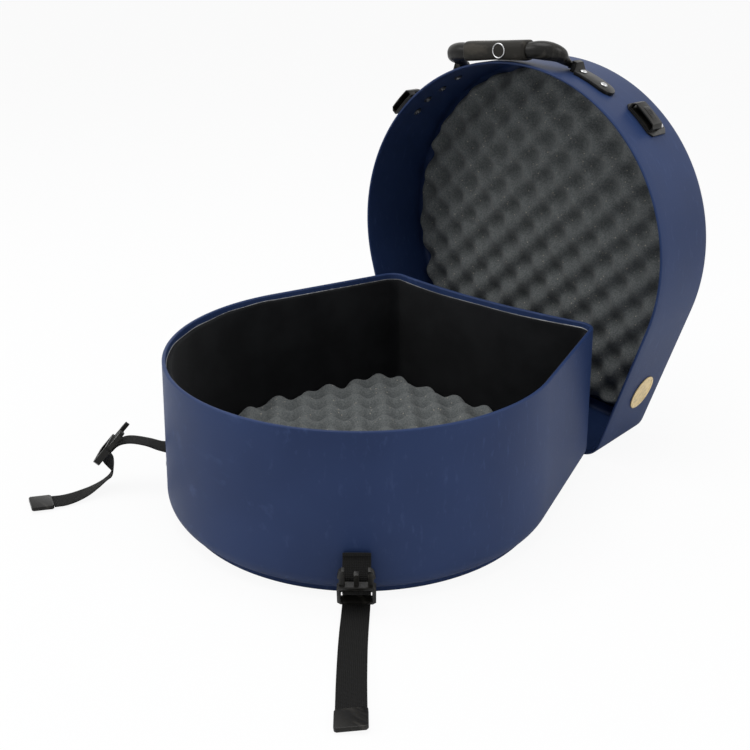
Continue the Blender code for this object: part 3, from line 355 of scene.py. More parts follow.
def moulded(name, dark, light, rubbed, roughness, fine, strength, coverage, **constants):
    """A moulded finish: drifting colour, paler rubbed streaks, roughness that drifts as well."""
    material, tree, shader, position, relief = start_finish(name, fine, **constants)
    streaks = add_node(tree, "ShaderNodeGroup", node_tree=RUBBED, Position=position,
                       Coverage=coverage)
    colour = add_ramp(tree, relief["Tone"], (0.3, dark), (0.7, light))
    colour = add_mix(tree, streaks.outputs["Mask"], colour, rubbed)
    add_roughness(tree, shader, relief["Tone"], roughness)
    add_surface(tree, shader, colour, relief["Relief"], strength, 0.0004)
    return material


SHELL_BLUE = moulded(
    "satin_blue_plastic", dark=(0.0145, 0.0300, 0.0900), light=(0.0190, 0.0375, 0.1080),
    rubbed=(0.0300, 0.0530, 0.1380), roughness=(0.42, 0.54), fine=1300.0, strength=0.16,
    coverage=0.27, Specular_IOR_Level=0.18)
FITTING_BLACK = moulded(
    "black_fitting_plastic", dark=(0.0055, 0.0052, 0.0046), light=(0.0100, 0.0094, 0.0080),
    rubbed=(0.032, 0.030, 0.026), roughness=(0.26, 0.40), fine=1500.0, strength=0.14,
    coverage=0.33, Specular_IOR_Level=0.22)
GRIP_RUBBER = moulded(
    "soft_black_grip", dark=(0.0110, 0.0100, 0.0082), light=(0.0190, 0.0170, 0.0135),
    rubbed=(0.045, 0.040, 0.032), roughness=(0.42, 0.58), fine=700.0, strength=0.35,
    coverage=0.34, Specular_IOR_Level=0.18)
GLUE = moulded(
    "pale_glue", dark=(0.10, 0.10, 0.105), light=(0.34, 0.35, 0.36), rubbed=(0.42, 0.42, 0.42),
    roughness=(0.30, 0.45), fine=300.0, strength=0.4, coverage=0.4)
print("moulded finishes:", SHELL_BLUE.name, FITTING_BLACK.name, GRIP_RUBBER.name, GLUE.name)

# %% [markdown]
# Bright steel shows on the rivets and the ring. The washers inside the walls get a darker copy
# of the steel, as painted shade for the shade they sit in, and a gold-coloured disc is the badge.
# A metal's colour hardly changes, so what makes it look real is uneven gloss. A slow tone drives
# the roughness, and a fine relief breaks the reflections up.

# %% Metal finishes
def metal(name, colour, roughness, fine, metallic=1.0):
    """A metal whose colour drifts from 0.72 of itself, with uneven gloss and a fine relief."""
    material, tree, shader, _, relief = start_finish(name, fine, slow=160.0, Metallic=metallic)
    darker = tuple(0.72 * channel for channel in colour)
    tint = add_ramp(tree, relief["Tone"], (0.25, darker), (0.65, colour))
    add_roughness(tree, shader, relief["Tone"], roughness)
    add_surface(tree, shader, tint, relief["Relief"], 0.10, 0.0003)
    return material


BRIGHT_STEEL = metal("bright_steel", (0.62, 0.62, 0.63), (0.18, 0.36), 2600.0)
# Painted shade: a darker copy of the steel for the washers, which sit in shade inside the walls.
SHADED_WASHER_STEEL = metal("shaded_washer_steel", (0.055, 0.060, 0.075), (0.40, 0.60), 2600.0, metallic=0.4)
BADGE_GOLD = metal("badge_gold", (0.86, 0.66, 0.34), (0.30, 0.46), 1800.0, metallic=0.25)
print("metal finishes:", BRIGHT_STEEL.name, SHADED_WASHER_STEEL.name, BADGE_GOLD.name)

# %% [markdown]
# The soft finishes: felt on the walls, open-cell foam, and woven webbing. Felt and foam
# scatter light among fibres and cells, so they get no gloss and a little sheen. The foam's
# colour also gets painted shade, darker in its hollows, down its sides and at its foot. How
# much each point gets is written on the mesh as an attribute when the pad is made, from the
# form and not from a noise.

# %% Soft finishes
BLACK, WHITE = (0.0, 0.0, 0.0), (1.0, 1.0, 1.0)


def felt_finish():
    """Felt: a nearly black tone that drifts slowly, under a deep relief of fibres."""
    material, tree, shader, _, relief = start_finish(
        "black_felt", 1500.0, 22.0, Roughness=0.95, Sheen_Weight=0.06, Specular_IOR_Level=0.08)
    colour = add_ramp(tree, relief["Tone"], (0.3, (0.0042, 0.0045, 0.0052)),
                      (0.75, (0.0085, 0.0090, 0.0100)))
    add_surface(tree, shader, colour, relief["Relief"], 0.6, 0.0008)
    return material


def foam_finish():
    """Foam: a grainy grey, small cells and pale flecks mixed over it, painted shade in the hollows.
    """
    material, tree, shader, position, relief = start_finish(
        "grey_foam", 520.0, 14.0, Roughness=0.97, Sheen_Weight=0.08, Specular_IOR_Level=0.1)
    colour = add_ramp(tree, relief["Relief"], (0.32, (0.098, 0.106, 0.108)),
                      (0.68, (0.158, 0.167, 0.164)))
    for scale, inner, outer, peak, tint in (
            (430.0, 0.08, 0.22, WHITE, (0.185, 0.192, 0.188)),
            (135.0, 0.07, 0.14, (0.9, 0.9, 0.9), (0.380, 0.345, 0.290))):
        cells = add_node(tree, "ShaderNodeTexVoronoi", Vector=position, Scale=scale)
        dots = add_ramp(tree, cells.outputs["Distance"], (inner, peak), (outer, BLACK))
        colour = add_mix(tree, dots, colour, tint)
    # Painted shade: the hollow attribute mixes in a near-black grey in the hollows and at the foot.
    depth = add_node(tree, "ShaderNodeAttribute", attribute_name="hollow")
    shade = add_ramp(tree, depth.outputs["Fac"], (0.25, BLACK), (0.95, (0.32, 0.32, 0.32)))
    colour = add_mix(tree, shade, colour, (0.034, 0.038, 0.042))
    add_surface(tree, shader, colour, relief["Relief"], 0.55, 0.0016)
    return material


def webbing_finish():
    """Webbing: black between the ribs and a little paler on them, by the strip's own UV map."""
    material, tree, shader = start_material("black_webbing", Roughness=0.78, Sheen_Weight=0.04,
                                            Specular_IOR_Level=0.12)
    cloth = add_node(tree, "ShaderNodeUVMap", uv_map="cloth")
    woven = add_node(tree, "ShaderNodeGroup", node_tree=WOVEN, Cloth=cloth.outputs["UV"],
                     Rib_scale=190.0).outputs
    colour = add_ramp(tree, woven["Gaps"], (0.05, (0.0032, 0.0031, 0.0029)),
                      (0.7, (0.0125, 0.0122, 0.0110)))
    add_surface(tree, shader, colour, woven["Relief"], 0.5, 0.0005)
    return material


BLACK_FELT, GREY_FOAM, BLACK_WEBBING = felt_finish(), foam_finish(), webbing_finish()
print("soft finishes:", BLACK_FELT.name, GREY_FOAM.name, BLACK_WEBBING.name)

# %% [markdown]
# ## Where the walls are
# Seen from above, both shells have one outline: a large round end, two straight sides that
# touch it, small corners, and a flat end that bows inwards a little. Everything fastened to
# a wall is placed by an angle round it. The outline is one function of an offset, so the
# outer wall, the inner wall, the lining and the pads are all the same curve moved in or out.

# %% The outline
RIM_RADIUS = 0.2085
FLAT_END_Y = 0.2279
FLAT_HALF_WIDTH = 0.1552
CORNER_RADIUS = 0.020
FLAT_BOW = 0.0115
CORNER_X, CORNER_Y = FLAT_HALF_WIDTH - CORNER_RADIUS, FLAT_END_Y - CORNER_RADIUS
TOUCH = math.atan2(CORNER_Y, CORNER_X)
TOUCH -= math.acos((RIM_RADIUS - CORNER_RADIUS) / math.hypot(CORNER_X, CORNER_Y))


def teardrop(offset, round_steps=200, corner_steps=12, flat_steps=28):
    """Arcs that meet the sides at TOUCH, and a parabola, each moved out along its normals."""
    lean = math.atan2(2 * FLAT_BOW, CORNER_X)
    turn = np.linspace(math.pi - TOUCH, 2 * math.pi + TOUCH, round_steps + 1)
    corner = np.linspace(TOUCH, math.pi / 2 + lean, corner_steps + 1)
    big_normals = np.stack([np.cos(turn), np.sin(turn)], axis=1)
    right_normals = np.stack([np.cos(corner), np.sin(corner)], axis=1)
    right = np.array([CORNER_X, CORNER_Y]) + CORNER_RADIUS * right_normals
    left, left_normals = right[::-1] * (-1, 1), right_normals[::-1] * (-1, 1)
    end_x, end_y = right[-1]
    xs = np.linspace(end_x, -end_x, flat_steps + 1)[1:-1]
    flat = np.stack([xs, end_y - FLAT_BOW * (1 - (xs / end_x) ** 2)], axis=1)
    flat_normals = unit(np.stack([-2 * FLAT_BOW * xs / end_x**2, np.ones_like(xs)], axis=1))
    normals = np.concatenate([big_normals, right_normals, flat_normals, left_normals])
    return np.concatenate([RIM_RADIUS * big_normals, right, flat, left]) + offset * normals


print("outline points:", len(teardrop(0.0)))

# %% [markdown]
# The base's wall leans out a little and has a round foot. The lid's wall is plain and fits
# over it with a gap. Fittings lie on small frames on these walls, and a fitting that is wide
# is bent round the lid by turning each of its points.

# %% Frames on the walls
BASE_HEIGHT, BASE_WALL, BASE_FLARE, BASE_ROUND = 0.174, 0.004, 0.0045, 0.022
BASE_PANEL_INSET, BASE_PANEL_HEIGHT = 0.0145, 0.005
LID_DEPTH, LID_WALL, LID_GAP, LID_ROUND = 0.117, 0.003, 0.0023, 0.010
LID_PANEL_INSET, LID_PANEL_HEIGHT = 0.0125, 0.004
LID_OUTSET = LID_GAP + LID_WALL
LID_RADIUS = RIM_RADIUS + LID_OUTSET
LID_CENTRE_Z = FLAT_END_Y + LID_OUTSET
LID_RIM_Y = 0.2445
CLEAR = 0.0003
UP = Vector((0, 0, 1))


def base_outset(height):
    """How far the base's outer wall stands out past the rim's outline at this height."""
    hub = BASE_PANEL_HEIGHT + BASE_ROUND
    if height < hub:
        return BASE_FLARE - BASE_ROUND + math.sqrt(BASE_ROUND**2 - (hub - height) ** 2)
    top = BASE_HEIGHT - BASE_WALL / 2
    return BASE_FLARE * (top - height) / (top - hub)


def axes_matrix(x_axis, y_axis, z_axis, origin):
    """The matrix whose columns are these axes and this origin."""
    matrix = Matrix((x_axis, y_axis, z_axis)).transposed().to_4x4()
    matrix.translation = origin
    return matrix


def bearing(angle):
    """Level directions out of the base's wall and across it, the angle from -Y towards +X."""
    turn = math.radians(angle)
    return (Vector((math.sin(turn), -math.cos(turn), 0)),
            Vector((math.cos(turn), math.sin(turn), 0)))


def base_frame(angle, height):
    """Frame on the base's round wall: X across, Y up, Z out."""
    out, across = bearing(angle)
    return axes_matrix(across, UP, out, out * (RIM_RADIUS + base_outset(height)) + height * UP)


def lid_frame(angle, depth):
    """Frame on the lid's round wall: X across, Y deeper, Z out. The angle is from the top."""
    turn = math.radians(angle)
    out = Vector((math.sin(turn), 0, math.cos(turn)))
    across = Vector((math.cos(turn), 0, -math.sin(turn)))
    origin = Vector((0, LID_RIM_Y + depth, LID_CENTRE_Z)) + out * LID_RADIUS
    return axes_matrix(across, Vector((0, 1, 0)), out, origin)


def on_lid_wall(points, angle):
    """Bends (across, depth, height) points round the lid's wall, from this angle off its top."""
    turn = math.radians(angle) + points[..., 0] / LID_RADIUS
    reach = LID_RADIUS + points[..., 2]
    y = LID_RIM_Y + points[..., 1]
    return np.stack([reach * np.sin(turn), y, LID_CENTRE_Z + reach * np.cos(turn)], axis=-1)


print("the base's wall leans out by mm:", round(1000 * base_outset(0.03), 2))

# %% [markdown]
# ## The straps
# Each strap is one strip of webbing. Its end is riveted flat to the base, it folds forwards
# over its own top edge, runs through the slots of a male buckle half, and lies on the floor
# with a moulded tip. The path is a smooth curve through measured points in a frame with one
# axis out from the wall. A flat section with round edges is carried along it, turned by two
# angles: one steers the strap on the floor, the other rolls it.

# %% Measured points of the straps
WEBBING_WIDTH, WEBBING_THICKNESS = 0.0265, 0.0016
STRAP_PIVOT_HEIGHT = 0.0512
# The weave is pairs (along the buckle, out of its front). A point before or after it is (out
# from the wall, across, up, turn, roll), in metres and degrees.
WEAVE = ((0.024, -0.0027), (0.0205, -0.0021), (0.017, 0.0002), (0.0138, 0.0016),
         (0.0112, 0.0016), (0.008, 0.0002))
STRAPS = {
    "front": {
        "angle": 41.5, "leaves_down": 60.0, "fold_end": 52.0,
        "before": ((0.006, 0.0, 0.049, 0.0, 0.0), (0.0112, 0.0, 0.0454, 0.0, 0.0),
                   (0.0162, 0.0, 0.0418, 0.0, 0.0), (0.0193, 0.0, 0.0385, 0.0, 0.0)),
        "weave_end": ((0.005, -0.0022), (0.0022, -0.0028)),
        "male_at": (0.0133, 0.0, 0.0112), "male_tilt": 68.0,
        "after": ((0.0092, -0.0002, 0.0098, 0.0, 0.0), (0.0084, -0.0004, 0.0055, 0.0, 0.0),
                  (0.0102, -0.0006, 0.0022, 0.0, 0.0), (0.0165, -0.0008, 0.0013, -1.0, 0.0),
                  (0.03, -0.0012, 0.0015, -2.0, 1.0), (0.05, -0.0018, 0.0019, -1.0, 2.0),
                  (0.075, -0.0022, 0.0024, 0.0, 4.0), (0.1, -0.0022, 0.0029, 0.0, 5.0),
                  (0.125, -0.002, 0.0033, 1.0, 6.0), (0.1545, -0.0014, 0.004, 1.0, 6.0)),
        "buckle_angle": 42.2, "buckle_mouth": 0.045,
    },
    "side": {
        "angle": -49.0, "leaves_down": 0.0, "fold_end": 88.0,
        "before": ((0.012, 0.0, 0.054, 0.0, 5.0), (0.024, 0.0, 0.058, 0.0, 8.0),
                   (0.0385, 0.0, 0.0607, 0.0, 8.0), (0.049, 0.0, 0.0603, 0.0, 5.0),
                   (0.0562, 0.0, 0.0574, 0.0, 2.0)),
        "weave_end": ((0.0066, -0.0026), (0.0056, -0.0052)),
        "male_at": (0.0786, 0.0, 0.0365), "male_tilt": 130.0,
        "after": ((0.0682, 0.0, 0.033, 3.0, 0.0), (0.0662, 0.0, 0.0272, 11.0, 0.0),
                  (0.0676, 0.0003, 0.0208, 14.0, 4.0), (0.0719, 0.0016, 0.0148, 19.0, 16.0),
                  (0.0783, 0.005, 0.01, 30.0, 22.0), (0.0862, 0.0112, 0.0066, 40.0, 20.0),
                  (0.0948, 0.019, 0.0042, 41.0, 12.0), (0.1042, 0.0265, 0.0026, 36.0, 6.0),
                  (0.1145, 0.033, 0.002, 29.0, 2.0), (0.125, 0.0382, 0.003, 26.0, 1.0)),
        "buckle_angle": -45.51, "buckle_mouth": 0.001,
    },
}
print("straps:", list(STRAPS))

# %% [markdown]
# From the points, the path is worked out in the strap's own frame and then carried to the
# wall. The strip's width direction starts level, is turned on the floor and then rolled about
# the path. Its normal is square to both.

# %% Paths of the straps
def strap_matrix(angle):
    """Frame of a strap: X out from the wall near its anchor, Y across, Z up from the floor."""
    out, across = bearing(angle)
    return axes_matrix(out, across, UP, out * (RIM_RADIUS + base_outset(STRAP_PIVOT_HEIGHT)))


def fold(strap, start, end, steps, shrink=0.0):
    """Part of the fold over the anchor's top edge: an arc about the line the strap swings on."""
    out = WEBBING_THICKNESS * (1 + math.sin(math.radians(strap["leaves_down"]))) + 2 * CLEAR
    radius = out - CLEAR - WEBBING_THICKNESS / 2 - shrink
    turn = np.radians(np.linspace(start, end, steps))
    zero = np.zeros(steps)
    rise = STRAP_PIVOT_HEIGHT + radius * np.sin(turn)
    return np.stack([out + radius * np.cos(turn), zero, rise, zero, zero], axis=1)


def woven(strap):
    """The points where the strap passes through its buckle, from (along, front) pairs."""
    tilt = math.radians(strap["male_tilt"])
    at = strap["male_at"]
    along, front = np.array(WEAVE + strap["weave_end"]).T
    out = at[0] + along * math.cos(tilt) + front * math.sin(tilt)
    up = at[2] + along * math.sin(tilt) - front * math.cos(tilt)
    zero = np.zeros(len(out))
    return np.stack([out, zero + at[1], up, zero, zero], axis=1)


strap_paths = {}
for side, strap in STRAPS.items():
    matrix = strap_matrix(strap["angle"])
    start = fold(strap, 105.0, strap["fold_end"], 6)
    route = np.vstack([np.array(strap["before"]), woven(strap), np.array(strap["after"])])
    rows = np.vstack([start, smooth_curve(np.vstack([start[-1:], route]), 8)[1:]])
    path = place(rows[:, :3], matrix)
    turns, rolls = np.radians(rows[:, 3]), np.radians(rows[:, 4])
    level = np.stack([-np.sin(turns), np.cos(turns), np.zeros(len(rows))], axis=1)
    level = level @ np.array(matrix.to_3x3()).T
    lift = np.cross(unit(np.gradient(path, axis=0)), level)
    widths = unit(level * np.cos(rolls)[:, None] + lift * np.sin(rolls)[:, None])
    strap_paths[side] = (path, widths)
    print(side, "strap: free length in m", round(float(running_length(path)[-1]), 4))

# %% [markdown]
# Small moulded fittings, such as the buckle halves, are best kept exactly as their solids are,
# since parts must pass through them. But a real moulding has no knife edges. So the solid's
# mesh is copied, its loose triangles are joined, flat neighbours are merged into one face, and
# a Bevel modifier rounds every edge that is left.

# %% Rounded copies of small solids
JOIN_DISTANCE, FLAT_ANGLE, EDGE_ANGLE = 2e-5, math.radians(0.8), math.radians(28)


def rounded_copy(name, node, radius, body):
    """A copy of a black solid's mesh with its edges rounded, which stands for that solid."""
    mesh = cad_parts[node].data.copy()
    mesh.name = name
    edit = bmesh.new()
    edit.from_mesh(mesh)
    bmesh.ops.remove_doubles(edit, verts=edit.verts, dist=JOIN_DISTANCE)
    bmesh.ops.dissolve_limit(edit, angle_limit=FLAT_ANGLE, verts=edit.verts, edges=edit.edges)
    bmesh.ops.recalc_face_normals(edit, faces=edit.faces)
    edit.to_mesh(mesh)
    edit.free()
    mesh.materials.clear()
    mesh.materials.append(FITTING_BLACK)
    mesh.shade_smooth()
    made = bpy.data.objects.new(name, mesh)
    bpy.context.scene.collection.objects.link(made)
    bevel = made.modifiers.new("rounded_edges", "BEVEL")
    bevel.width = radius
    bevel.segments = 3
    bevel.limit_method = "ANGLE"
    bevel.angle_limit = EDGE_ANGLE
    bevel.harden_normals = True
    return dress(made, body, node)


print("edges are rounded from this many degrees:", round(math.degrees(EDGE_ANGLE), 1))

# %% [markdown]
# Webbing has full, round edges, which an ellipse would make too sharp. Powers below one of
# its cosine and sine fill them out. The UV map is in metres, so the weave has one scale
# everywhere.

# %% The free straps
def webbing_section():
    """The strip's section: cosine to 0.55 across it, sine to 0.35 through it."""
    turn = around(40)
    return np.stack([signed_power(np.cos(turn), 0.55) * WEBBING_WIDTH / 2,
                     signed_power(np.sin(turn), 0.35) * WEBBING_THICKNESS / 2], axis=1)


def webbing_skin(name, grid, section, path):
    """A grid of sections along a path, with UV in metres: the place across, the way travelled."""
    uv = np.stack([np.tile(section[:, 0], len(path)),
                   np.repeat(running_length(path), len(section))], axis=1)
    return skin(name, grid, BLACK_WEBBING, uv=uv, angle=60.0)


def ribbon(name, path, widths):
    """A strip: point = path + x * width direction + z * normal of the strip."""
    normals = unit(np.cross(widths, unit(np.gradient(path, axis=0))))
    section = webbing_section()
    grid = path[:, None] + section[:, :1] * widths[:, None] + section[:, 1:] * normals[:, None]
    return webbing_skin(name, grid, section, path)


for side, (path, widths) in strap_paths.items():
    body = f"{side}_strap"
    webbing = ribbon(f"{side}_webbing_strip", path, widths)
    dress(webbing, body, f"{side}_strap_webbing")
    tip = rounded_copy(f"{side}_webbing_tip", f"{side}_strap_tip", 0.0009, body)
    male = rounded_copy(f"{side}_buckle_tongue", f"{side}_male_buckle", 0.0006, body)
    print("declared:", webbing.name, "with", len(path), "points")

# %% [markdown]
# The riveted end of each strap is a flat tab on the curved wall. It follows the wall, so its
# width direction is bent as well: the strip is made flat first and each point is then pushed
# back by the wall's own curve. At its top it starts the fold that the strap goes on with.

# %% Riveted ends of the straps
ANCHOR_BOTTOM, ANCHOR_RIVET_HEIGHT, ANCHOR_RIVET_SPACING = 0.022, 0.036, 0.015
LEAVES_WALL_BELOW_FOLD, UNDER_THE_STRIP = 0.012, 0.00006


def anchor_tab(side, strap):
    """The tab up the wall and the start of the fold, with a section bent to the wall."""
    heights = np.linspace(ANCHOR_BOTTOM, STRAP_PIVOT_HEIGHT - 0.001, 16)
    wall = base_outset(STRAP_PIVOT_HEIGHT)
    out = np.array([base_outset(h) - wall for h in heights]) + CLEAR + WEBBING_THICKNESS / 2
    up_wall = np.stack([out, 0 * out, heights], axis=1)
    over = fold(strap, 180.0, strap["fold_end"] + 40.0, 8, UNDER_THE_STRIP)[:, :3]
    rows = np.vstack([up_wall, over])
    tangents = unit(np.gradient(rows, axis=0))
    normals = np.stack([tangents[:, 2], np.zeros(len(rows)), -tangents[:, 0]], axis=1)
    section = webbing_section()
    drop = RIM_RADIUS - np.sqrt(RIM_RADIUS**2 - section[:, 0] ** 2)
    on_wall = np.clip((STRAP_PIVOT_HEIGHT - rows[:, 2]) / LEAVES_WALL_BELOW_FOLD, 0, 1)
    grid = rows[:, None] + section[None, :, 1:] * normals[:, None]
    grid[:, :, 1] += section[None, :, 0]
    grid[:, :, 0] -= drop[None] * on_wall[:, None]
    grid = place(grid, strap_matrix(strap["angle"]))
    tab = webbing_skin(f"{side}_webbing_tab", grid, section, rows)
    return dress(tab, "base", f"{side}_strap_anchor")


print("tabs:", [anchor_tab(side, strap).name for side, strap in STRAPS.items()])

# %% [markdown]
# ## The shells
# Each shell is a thermoformed tray with a round bottom edge and a raised panel, and its rim is
# trimmed and rounded. It could be an outline with thickness from a Solidify modifier, but
# inner and outer walls then share one roundness. Instead, one section goes up the outside,
# over the rim and down the inside, and the outline is offset by each point of that section.

# %% Base and lid shells
OUTER_PANEL_RING, INNER_PANEL_RING = 0.006, 0.004


def arc_points(hub, radius, start, end, steps):
    """Section points on an arc: degrees from straight down, turning outwards."""
    turn = np.radians(np.linspace(start, end, steps))
    return np.stack([hub[0] + radius * np.sin(turn), hub[1] - radius * np.cos(turn)], axis=1)


def round_edge(hub, radius, panel, steps=14):
    """From the raised panel's foot round to the wall, with a ledge where the round starts late."""
    if panel < hub[0]:
        ledge = np.linspace(panel, hub[0], 4)[:-1]
        flat = np.stack([ledge, np.full(len(ledge), hub[1] - radius)], axis=1)
        return np.vstack([flat, arc_points(hub, radius, 0, 90, steps)])
    return arc_points(hub, radius, math.degrees(math.asin((panel - hub[0]) / radius)), 90, steps)


def shell_section(rim, flare, height, wall, edge_round, panel_inset, panel_height):
    """Section of an open shell as (offset, height), from the closed face out, up and back in."""
    outer = rim + flare
    hub = (outer - edge_round, panel_height + edge_round)
    panel = outer - panel_inset
    corner = arc_points((panel - wall / 3, wall / 3), wall / 3, 0, 90, 5)
    middle = [(panel - OUTER_PANEL_RING, 0.0)]
    outside = round_edge(hub, edge_round, panel)
    wall_rows = np.linspace(outside[-1], (rim, height - wall / 2), 8)[1:]
    lip = arc_points((rim - wall / 2, height - wall / 2), wall / 2, 90, 270, 11)[1:]
    inside = round_edge(hub, edge_round - wall, panel - wall)[::-1]
    inner_rows = np.linspace(lip[-1], inside[0], 8)[1:-1]
    floor = [(panel - wall, wall), (panel - wall - INNER_PANEL_RING, wall)]
    return np.vstack([middle, corner, outside, wall_rows, lip, inner_rows, inside, floor])


def upright(outline, height):
    """The outline seen from above, laid level at this height."""
    return np.column_stack([outline, np.full(len(outline), height)])


def standing(outline, depth):
    """The lid's outline stands on its flat end, this deep behind the plane of its rim."""
    y = np.full(len(outline), LID_RIM_Y + depth)
    return np.column_stack([outline[:, 0], y, LID_CENTRE_Z - outline[:, 1]])


SHELLS = (
    ("base", upright, (0.0, BASE_FLARE, BASE_HEIGHT, BASE_WALL, BASE_ROUND, BASE_PANEL_INSET,
                       BASE_PANEL_HEIGHT)),
    ("lid", lambda outline, height: standing(outline, LID_DEPTH - height),
     (LID_OUTSET, 0.0, LID_DEPTH, LID_WALL, LID_ROUND, LID_PANEL_INSET, LID_PANEL_HEIGHT)),
)
for body, placer, sizes in SHELLS:
    section = shell_section(*sizes)
    grid = np.array([placer(teardrop(offset), height) for offset, height in section])
    shell = skin(f"{body}_moulding", grid, SHELL_BLUE, angle=40.0)
    dress(shell, body, f"{body}_shell")
    print(body, "shell section:", len(section), "points")

# %% [markdown]
# ## The felt lining
# A strip of black felt is glued inside the base's wall. It stops a little below the rim, its
# cut edge isn't quite straight, and a thin line of pale glue shows along parts of it. The
# strip is a closed band, and its section is offset along the wall. Two slow sines along the
# outline lift and lower its edge, and the line of glue follows the same edge.

# %% Felt lining
LINING_THICKNESS, LINING_BELOW_RIM, LINING_BOTTOM = 0.005, 0.008, 0.0275
lining_top = BASE_HEIGHT - LINING_BELOW_RIM
wander_at = around(len(teardrop(0.0)))
wander = 0.0006 * np.sin(5 * wander_at + 0.7) + 0.0004 * np.sin(17 * wander_at)
LINING_SECTION = (
    (0.0, LINING_BOTTOM), (0.0, lining_top), (-0.0008, lining_top + 0.0006),
    (-LINING_THICKNESS + 0.0016, lining_top + 0.0004), (-LINING_THICKNESS, lining_top - 0.0012),
    (-LINING_THICKNESS, (lining_top + LINING_BOTTOM) / 2), (-LINING_THICKNESS, LINING_BOTTOM),
)
rings = []
for inset, height in LINING_SECTION:
    ring = upright(teardrop(-BASE_WALL - CLEAR + base_outset(height) + inset), height)
    if height > lining_top - 0.002:
        ring[:, 2] += wander
    rings.append(ring)
lining = skin("felt_lining", np.array(rings), BLACK_FELT, wrap_rows=True, angle=50.0)
dress(lining, "base", "base_wall_lining")
print("felt edge wanders by mm:", round(1000 * float(np.ptp(wander)), 2))

# %% [markdown]
# The glue is a thin bead along the felt's edge. It is a round section carried along the
# outline, and its radius swells where two sines add up, so it shows only in places.

# %% Line of glue
GLUE_RADIUS, GLUE_SWELL, GLUE_GAP, GLUE_RISE = 0.00028, 0.00022, 0.0004, 0.0007
bead_outline = teardrop(-BASE_WALL - GLUE_GAP + base_outset(lining_top))
bead_line = upright(bead_outline, lining_top + GLUE_RISE)
bead_line[:, 2] += wander
thick = np.clip(np.sin(7 * wander_at + 1.0) + np.sin(11 * wander_at), 0, 1)
thick = (GLUE_RADIUS + GLUE_SWELL * thick)[:, None, None]
tangent = unit(np.roll(bead_line, -1, axis=0) - np.roll(bead_line, 1, axis=0))
side_way = unit(np.cross(tangent, UP))
turn = around(8)[None, :, None]
bead = np.cos(turn) * side_way[:, None] + np.sin(turn) * np.array(UP)
glue = skin("lining_glue_bead", bead_line[:, None] + thick * bead, GLUE, wrap_rows=True, angle=80.0)
dress(glue, "base")
print("glue bead radius in mm:", 1000 * GLUE_RADIUS, "to", 1000 * (GLUE_RADIUS + GLUE_SWELL))

# %% [markdown]
# ## The foam pads
# Egg-crate foam is cut so that peaks and hollows alternate like a chessboard: the height is
# a cosine along one axis times a cosine along the other. A displacement modifier could do it,
# but the array gives the exact form, and the same numbers give the finish its painted shade,
# darker where a point lies deeper. The power makes the peaks broad and the hollows narrow,
# as the cutting does.

# %% Foam pads
FOAM_PITCH, FOAM_WAVE, HOLLOW_POWER = 0.046, 0.015, 1.25
FOAM_FLAT_END_GAP, FOAM_FOOT_WIDTH = 0.022, 0.02
FOAM_MIDDLE = np.array([0.0, 0.01])
TEAR_MEAN, TEAR_SIZES, TEAR_COUNTS = 0.0022, (0.0011, 0.0008, 0.0006, 0.0005), (5, 13, 29, 47)
EDGE_DROP, EDGE_DROP_WIDTH = 0.0035, 0.005
POINTS_ROUND, RINGS = 480, 130
# Rings down the pad's side: (share of the way down, how far out as a scale).
SIDE_RINGS = ((0.15, 1.006), (0.55, 1.008), (0.92, 1.004))


def evenly(outline, count):
    """Points at equal distances along a closed outline, read off its running length."""
    closed = np.vstack([outline, outline[:1]])
    travelled = running_length(closed)
    at = np.linspace(0, travelled[-1], count, endpoint=False)
    return np.stack([np.interp(at, travelled, closed[:, axis]) for axis in (0, 1)], axis=1)


def torn_outline(edge, seed):
    """The walls' outline moved in by an offset and by a few sines with random phases."""
    outline = teardrop(edge, 170, 8, 40)
    outline[:, 1] = np.minimum(outline[:, 1], FLAT_END_Y - FOAM_FLAT_END_GAP)
    outline = evenly(outline, POINTS_ROUND)
    rng = np.random.default_rng(seed)
    phases = rng.uniform(0, 2 * np.pi, 4)
    s = around(POINTS_ROUND)
    tear = sum(a * np.sin(n * s + p) for a, n, p in zip(TEAR_SIZES, TEAR_COUNTS, phases))
    return outline - unit(outline - FOAM_MIDDLE) * (TEAR_MEAN + tear)[:, None]


def foam_pad(name, edge, low, high, wave_sign, placer, seed):
    """A pad between two heights: rings shrink to the middle, and the outer ones round the edge."""
    outline = torn_outline(edge, seed)
    outwards = outline - FOAM_MIDDLE
    spread = np.linspace(0.004, 1.0, RINGS)
    flat = FOAM_MIDDLE + spread[:, None, None] * outwards
    bump = np.prod(np.cos(2 * np.pi * flat / FOAM_PITCH), axis=-1)
    hollow = ((1 - bump) / 2) ** HOLLOW_POWER
    from_edge = (1 - spread) * np.linalg.norm(outline, axis=1).mean()
    drop = EDGE_DROP * (1 - np.clip(from_edge / EDGE_DROP_WIDTH, 0, 1)) ** 2
    height = high - wave_sign * (FOAM_WAVE * hollow + drop[:, None])
    rise = placer(flat[0], 1.0)[0] - placer(flat[0], 0.0)[0]
    rows = [np.array([placer(ring, 0.0) for ring in flat]) + height[..., None] * rise]
    # Painted shade for the finish: the hollows' depth on top, darker down the side rings, darkest
    # at the foot.
    shade = [hollow]
    lower = [(outwards * out, height[-1] * (1 - part) + low * part, 0.35 + 0.5 * part)
             for part, out in SIDE_RINGS]
    lower += [(outwards * 1.002 - unit(outwards) * inset, np.full(POINTS_ROUND, low), 0.9)
              for inset in (0.0, FOAM_FOOT_WIDTH)]
    for reach, level, depth in lower:
        rows.append((placer(FOAM_MIDDLE + reach, 0.0) + level[:, None] * rise)[None])
        shade.append(np.full((1, POINTS_ROUND), depth))
    pad = skin(name, np.concatenate(rows), GREY_FOAM, angle=75.0)
    values = np.concatenate([np.concatenate(shade).ravel(), [hollow[0].mean(), 0.9]])
    attribute = pad.data.attributes.new("hollow", "FLOAT", "POINT")
    attribute.data.foreach_set("value", values)
    return pad


BASE_PAD_GAP, BASE_PAD_LOW, BASE_PAD_THICKNESS = 0.0015, 0.0125, 0.042
LID_PAD_GAP, LID_PAD_LOW, LID_PAD_THICKNESS = 0.008, 0.0004, 0.025
